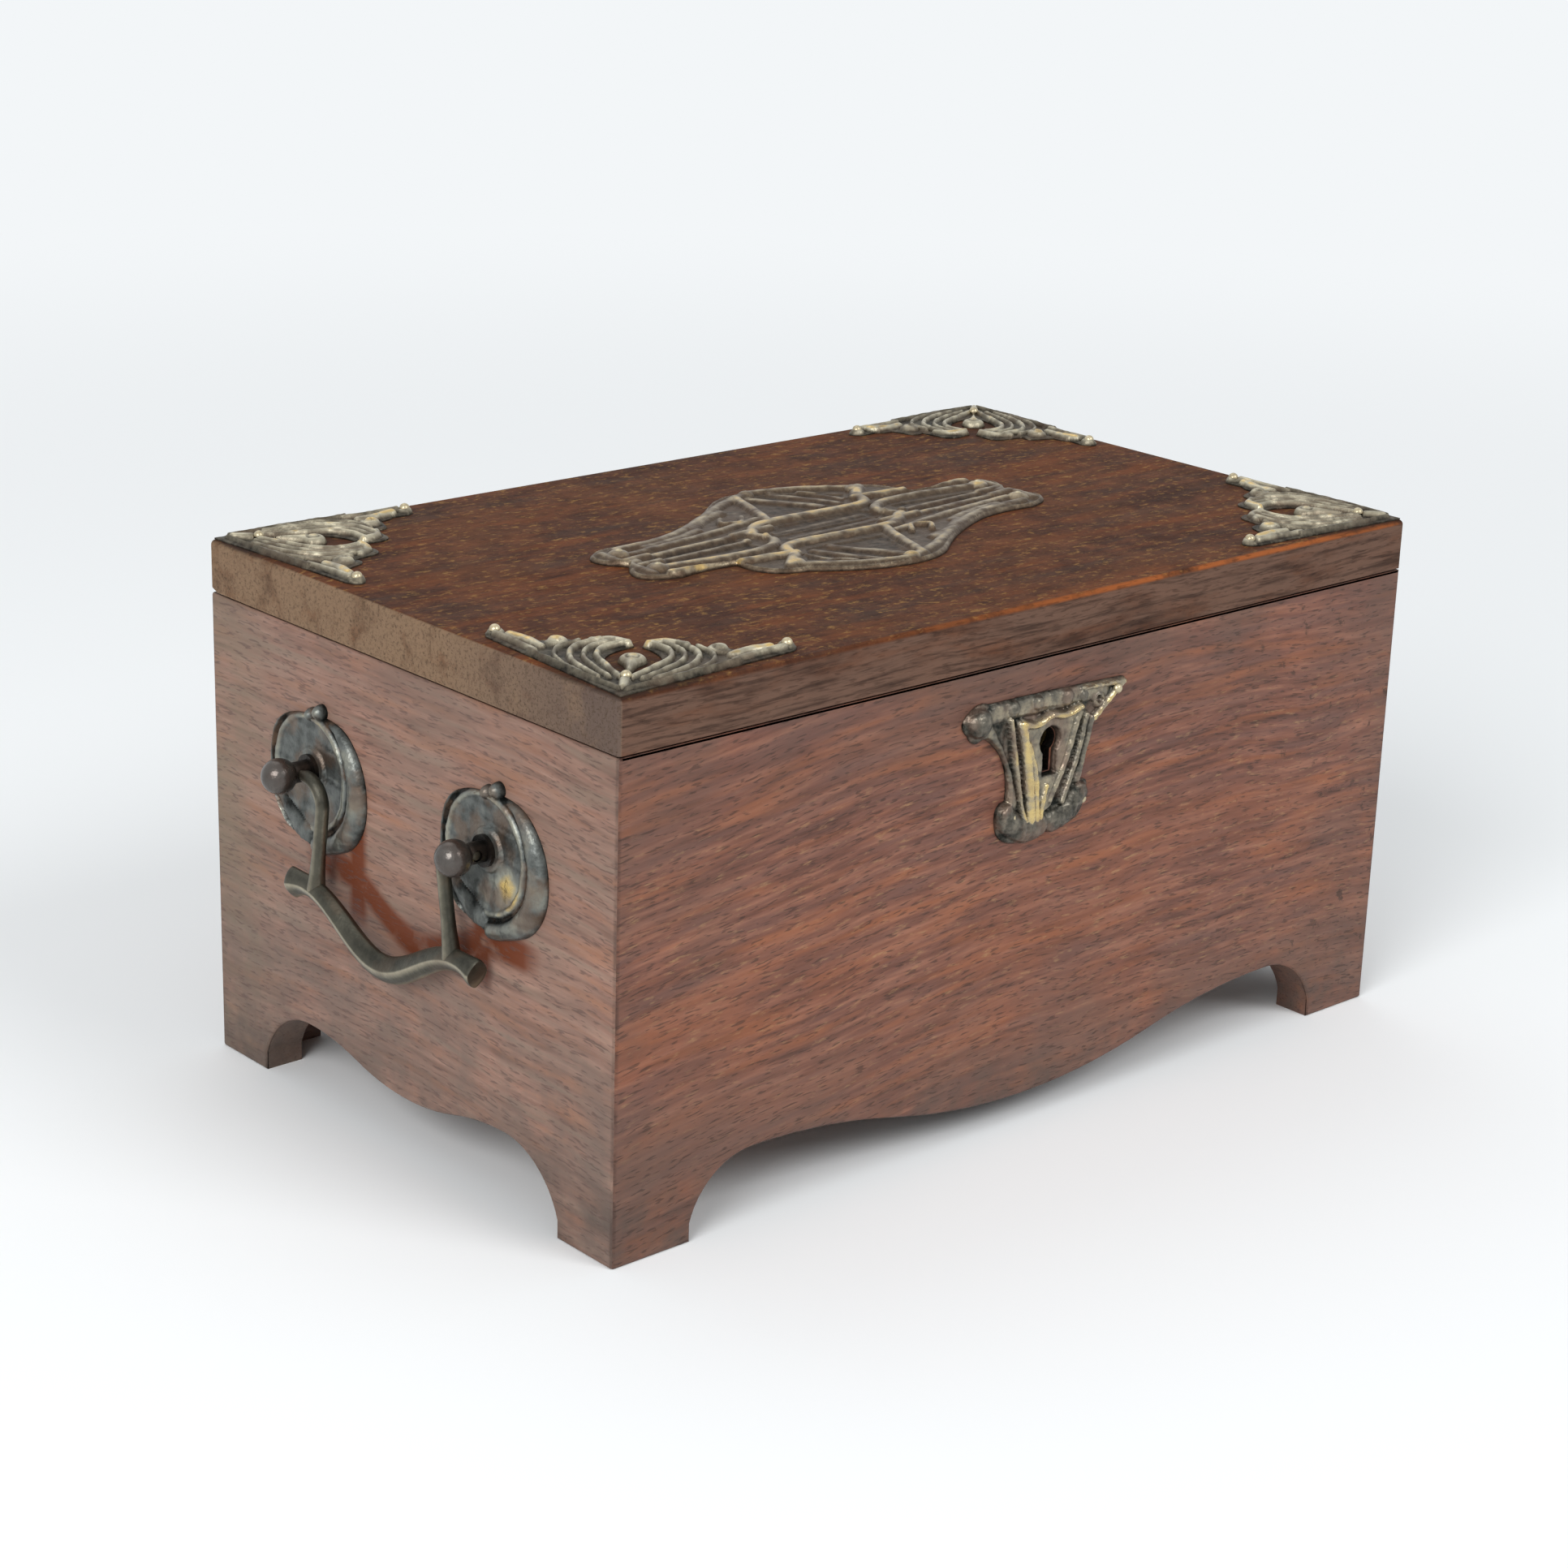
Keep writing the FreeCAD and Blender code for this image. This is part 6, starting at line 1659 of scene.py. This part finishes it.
    def bail(self) -> Shell:
        """Makes the bail: a cupid's-bow grip with drooping tips, two curved arms and their pegs.

        From the middle to a crest the grip rises by 1 minus a cosine, and beyond it falls by 1 minus the
        cosine of a quarter turn; its half width and depth go between their three values in the same way.

        Returns:
            The bail.
        """
        side = np.array([self.outward, 0.0, 0.0])
        along = np.linspace(-self.tip, self.tip, self.grip_steps)
        reach = np.abs(along)
        rise = (1 - np.cos(math.pi * np.clip(reach / self.crest, 0, 1))) / 2
        fall = 1 - np.cos(math.pi / 2 * np.clip((reach - self.crest) / (self.tip - self.crest), 0, 1))
        drop, wide, deep = (middle + (crest - middle) * rise + (tip - crest) * fall
                            for middle, crest, tip in (self.grip_drop, self.grip_wide, self.grip_deep))
        blunt_length, blunt_share = self.blunt
        blunt = 1 - blunt_share * np.clip((reach - self.tip + blunt_length) / blunt_length, 0, 1)
        grip = self.lift(np.stack([along, drop], axis=1))
        shell = drawn_bar(
            grip, side, blunt * wide, blunt * deep, self.grip_sharp, self.grip_rub, self.grip_around)
        start, end, radius = self.peg
        quarter = np.linspace(0.0, math.pi / 2, self.arm_steps)
        bend = self.arm_bend * np.stack([-np.sin(quarter), 1 - np.cos(quarter)], axis=1)
        bend = bend + (start - self.shoulder, 0.0)
        down = np.linspace(self.straight_from, 1.0, self.arm_steps)[:, None]
        straight = bend[-1] + down * (np.array(self.arm_foot) - bend[-1])
        arm = np.concatenate([[(start, 0.0)], bend, straight])
        swells_from, swells_by = self.arm_swell
        share = np.clip((np.linspace(0.0, 1.0, len(arm)) - swells_from) / (1 - swells_from), 0, 1)
        thick = self.arm_radius * (1 + swells_by * share ** 2)
        thick[0] *= self.shoulder_share
        tip_length, tip_share = self.peg_tip
        reach = np.array([start - self.peg_sunk, start + self.shoulder, end - tip_length, end])
        peg = np.stack([reach, np.zeros(len(reach))], axis=1)
        peg_thick = np.where(reach < end, radius, radius * tip_share)
        for mirror in ((1, 1), (-1, 1)):
            shell += drawn_bar(
                self.lift(arm * mirror), side, thick, thick * self.arm_depth, self.arm_sharp, self.arm_rub)
            shell += drawn_bar(
                self.lift(peg * mirror), side, peg_thick, peg_thick, sharp=1.0, rub=self.peg_rub)
        return shell


@dataclass
class Fittings:
    """Hinges, lock works, screws and pins, whose solids have their real shapes already."""

    hinge_names: tuple[str, ...] = ("hinge_left", "hinge_right")

    def build(self) -> None:
        """Dresses the fittings in their metals."""
        hinge, steel, lock = HINGE_BRASS.material(), SCREW_STEEL.material(), LOCK_BRASS.material()
        for name in self.hinge_names:
            dress(hinge, f"{name}_case_leaf", f"{name}_lid_leaf")
            dress(steel, f"{name}_pin")
        dress(steel, "hinge_case_screws", "hinge_lid_screws", "lock_screws", "link_screws")
        dress(steel, "key_post", "bolt_studs")
        dress(lock, "lock_plate", "lock_cover", "lock_bolt", "link_plate")
        dress(PIN_BRASS.material(), "mount_pins", "escutcheon_pins")


@dataclass
class Studio:
    """A pale floor, soft lamps and the camera at the photograph's place, in metres and degrees."""

    place: Triple = (-0.49538, -0.53868, 0.31088)
    heading: float = -42.002
    height: float = 19.002
    roll: float = 1.789
    lens: float = 76.76
    sensor: float = 36.0
    clip_start: float = 0.01
    floor_half: float = 8.0
    floor_colour: str = "#f9fbfc"
    floor_roughness: float = 0.9
    floor_gloss: float = 0.1
    fade: Pair = (0.3, 1.1)
    sky_colour: str = "#f3f6f8"
    sky: float = 0.52
    aim: Triple = (0.0, 0.0, 0.06)

    # Each lamp's place, its size and its power in watts.
    LAMPS = (((-1.75, -0.7, 1.2), 1.2, 27.0), ((0.45, -1.65, 1.45), 1.0, 16.0), ((0.3, 1.2, 1.9), 1.6, 5.0))

    def build(self) -> None:
        """Sets up the floor, the light and the camera."""
        self.floor()
        self.light()
        self.camera()

    def seen(self, tree: Tree) -> Socket:
        """Tells rays that show a surface from those that only light it.

        Args:
            tree: The node tree.

        Returns:
            One for a ray from the eye, off a shiny surface or through a clear one, and else zero.
        """
        rays = add_node(tree, "LightPath").node.outputs
        share = rays["Is Camera Ray"]
        for name in ("Is Glossy Ray", "Is Transmission Ray"):
            share = add_node(tree, "Math", (share, rays[name]), operation="MAXIMUM")
        return share

    def floor(self) -> None:
        """Lays a plain pale floor that fades into the sky's colour away from the box."""
        reach = self.floor_half
        mesh = bpy.data.meshes.new("floor")
        mesh.from_pydata([(-reach, -reach, 0), (reach, -reach, 0), (reach, reach, 0), (-reach, reach, 0)], [],
                         [(0, 1, 2, 3)])
        material, tree = blank("paper_floor_matt")
        shader = tree.nodes["Principled BSDF"]
        fill(tree, shader, {"Base Color": linear(self.floor_colour), "Roughness": self.floor_roughness,
                            "Specular IOR Level": self.floor_gloss})
        spot = add_node(tree, "TexCoord", out="Object")
        away = add_node(tree, "VectorMath", (spot,), "Value", operation="LENGTH")
        faded = add_node(tree, "MapRange", (away, *self.fade), interpolation_type="SMOOTHSTEP")
        share = add_node(tree, "Math", (faded, self.seen(tree)), operation="MULTIPLY")
        glow = add_node(tree, "Emission", {"Color": linear(self.sky_colour), "Strength": 1.0})
        both = add_node(tree, "MixShader", (share, shader.outputs[0], glow))
        fill(tree, tree.nodes["Material Output"], {"Surface": both})
        mesh.materials.append(material)
        floor = link("floor", mesh)

    def light(self) -> None:
        """Hangs the soft lamps, aimed at the middle of the box, under a pale sky."""
        world = bpy.data.worlds.new("pale_sky")
        bpy.context.scene.world = world
        world.use_nodes = True
        tree = world.node_tree
        strength = add_node(tree, "MapRange", (self.seen(tree), 0.0, 1.0, self.sky, 1.0))
        fill(tree, tree.nodes["Background"], {"Color": linear(self.sky_colour), "Strength": strength})
        for number, (place, size, power) in enumerate(self.LAMPS):
            lamp = bpy.data.lights.new(f"lamp_{number}", "AREA")
            lamp.shape = "DISK"
            lamp.size = size
            lamp.energy = power
            holder = link(lamp.name, lamp)
            holder.location = place
            holder.rotation_euler = (Vector(self.aim) - Vector(place)).to_track_quat("-Z", "Y").to_euler()

    def camera(self) -> None:
        """Sets the camera: level axes turned to its heading and height, then rolled about its view."""
        heading, height, roll = (math.radians(angle) for angle in (self.heading, self.height, self.roll))
        level = math.cos(height)
        back = Vector((math.sin(heading) * level, -math.cos(heading) * level, math.sin(height)))
        right = Vector((math.cos(heading), math.sin(heading), 0.0))
        up = back.cross(right)
        rolled_right = math.cos(roll) * right + math.sin(roll) * up
        rolled_up = math.cos(roll) * up - math.sin(roll) * right
        camera = bpy.data.cameras.new("camera")
        camera.lens = self.lens
        camera.sensor_width = self.sensor
        camera.clip_start = self.clip_start
        holder = link("camera", camera)
        turn = Matrix((rolled_right, rolled_up, back)).transposed()
        holder.matrix_world = Matrix.Translation(Vector(self.place)) @ turn.to_4x4()
        bpy.context.scene.camera = holder


def main() -> None:
    """Builds the box and the studio."""
    logging.basicConfig(level=logging.INFO, format="%(name)s: %(message)s")
    bpy.context.scene.view_settings.view_transform = "Standard"
    for assembly in (Carcass(), CornerMounts(), CentreMount(), Escutcheon(), Handle("left", -1),
                     Handle("right", 1), Fittings(), Studio()):
        log.info("building %s", type(assembly).__name__)
        assembly.build()


if __name__ == "__main__":
    main()
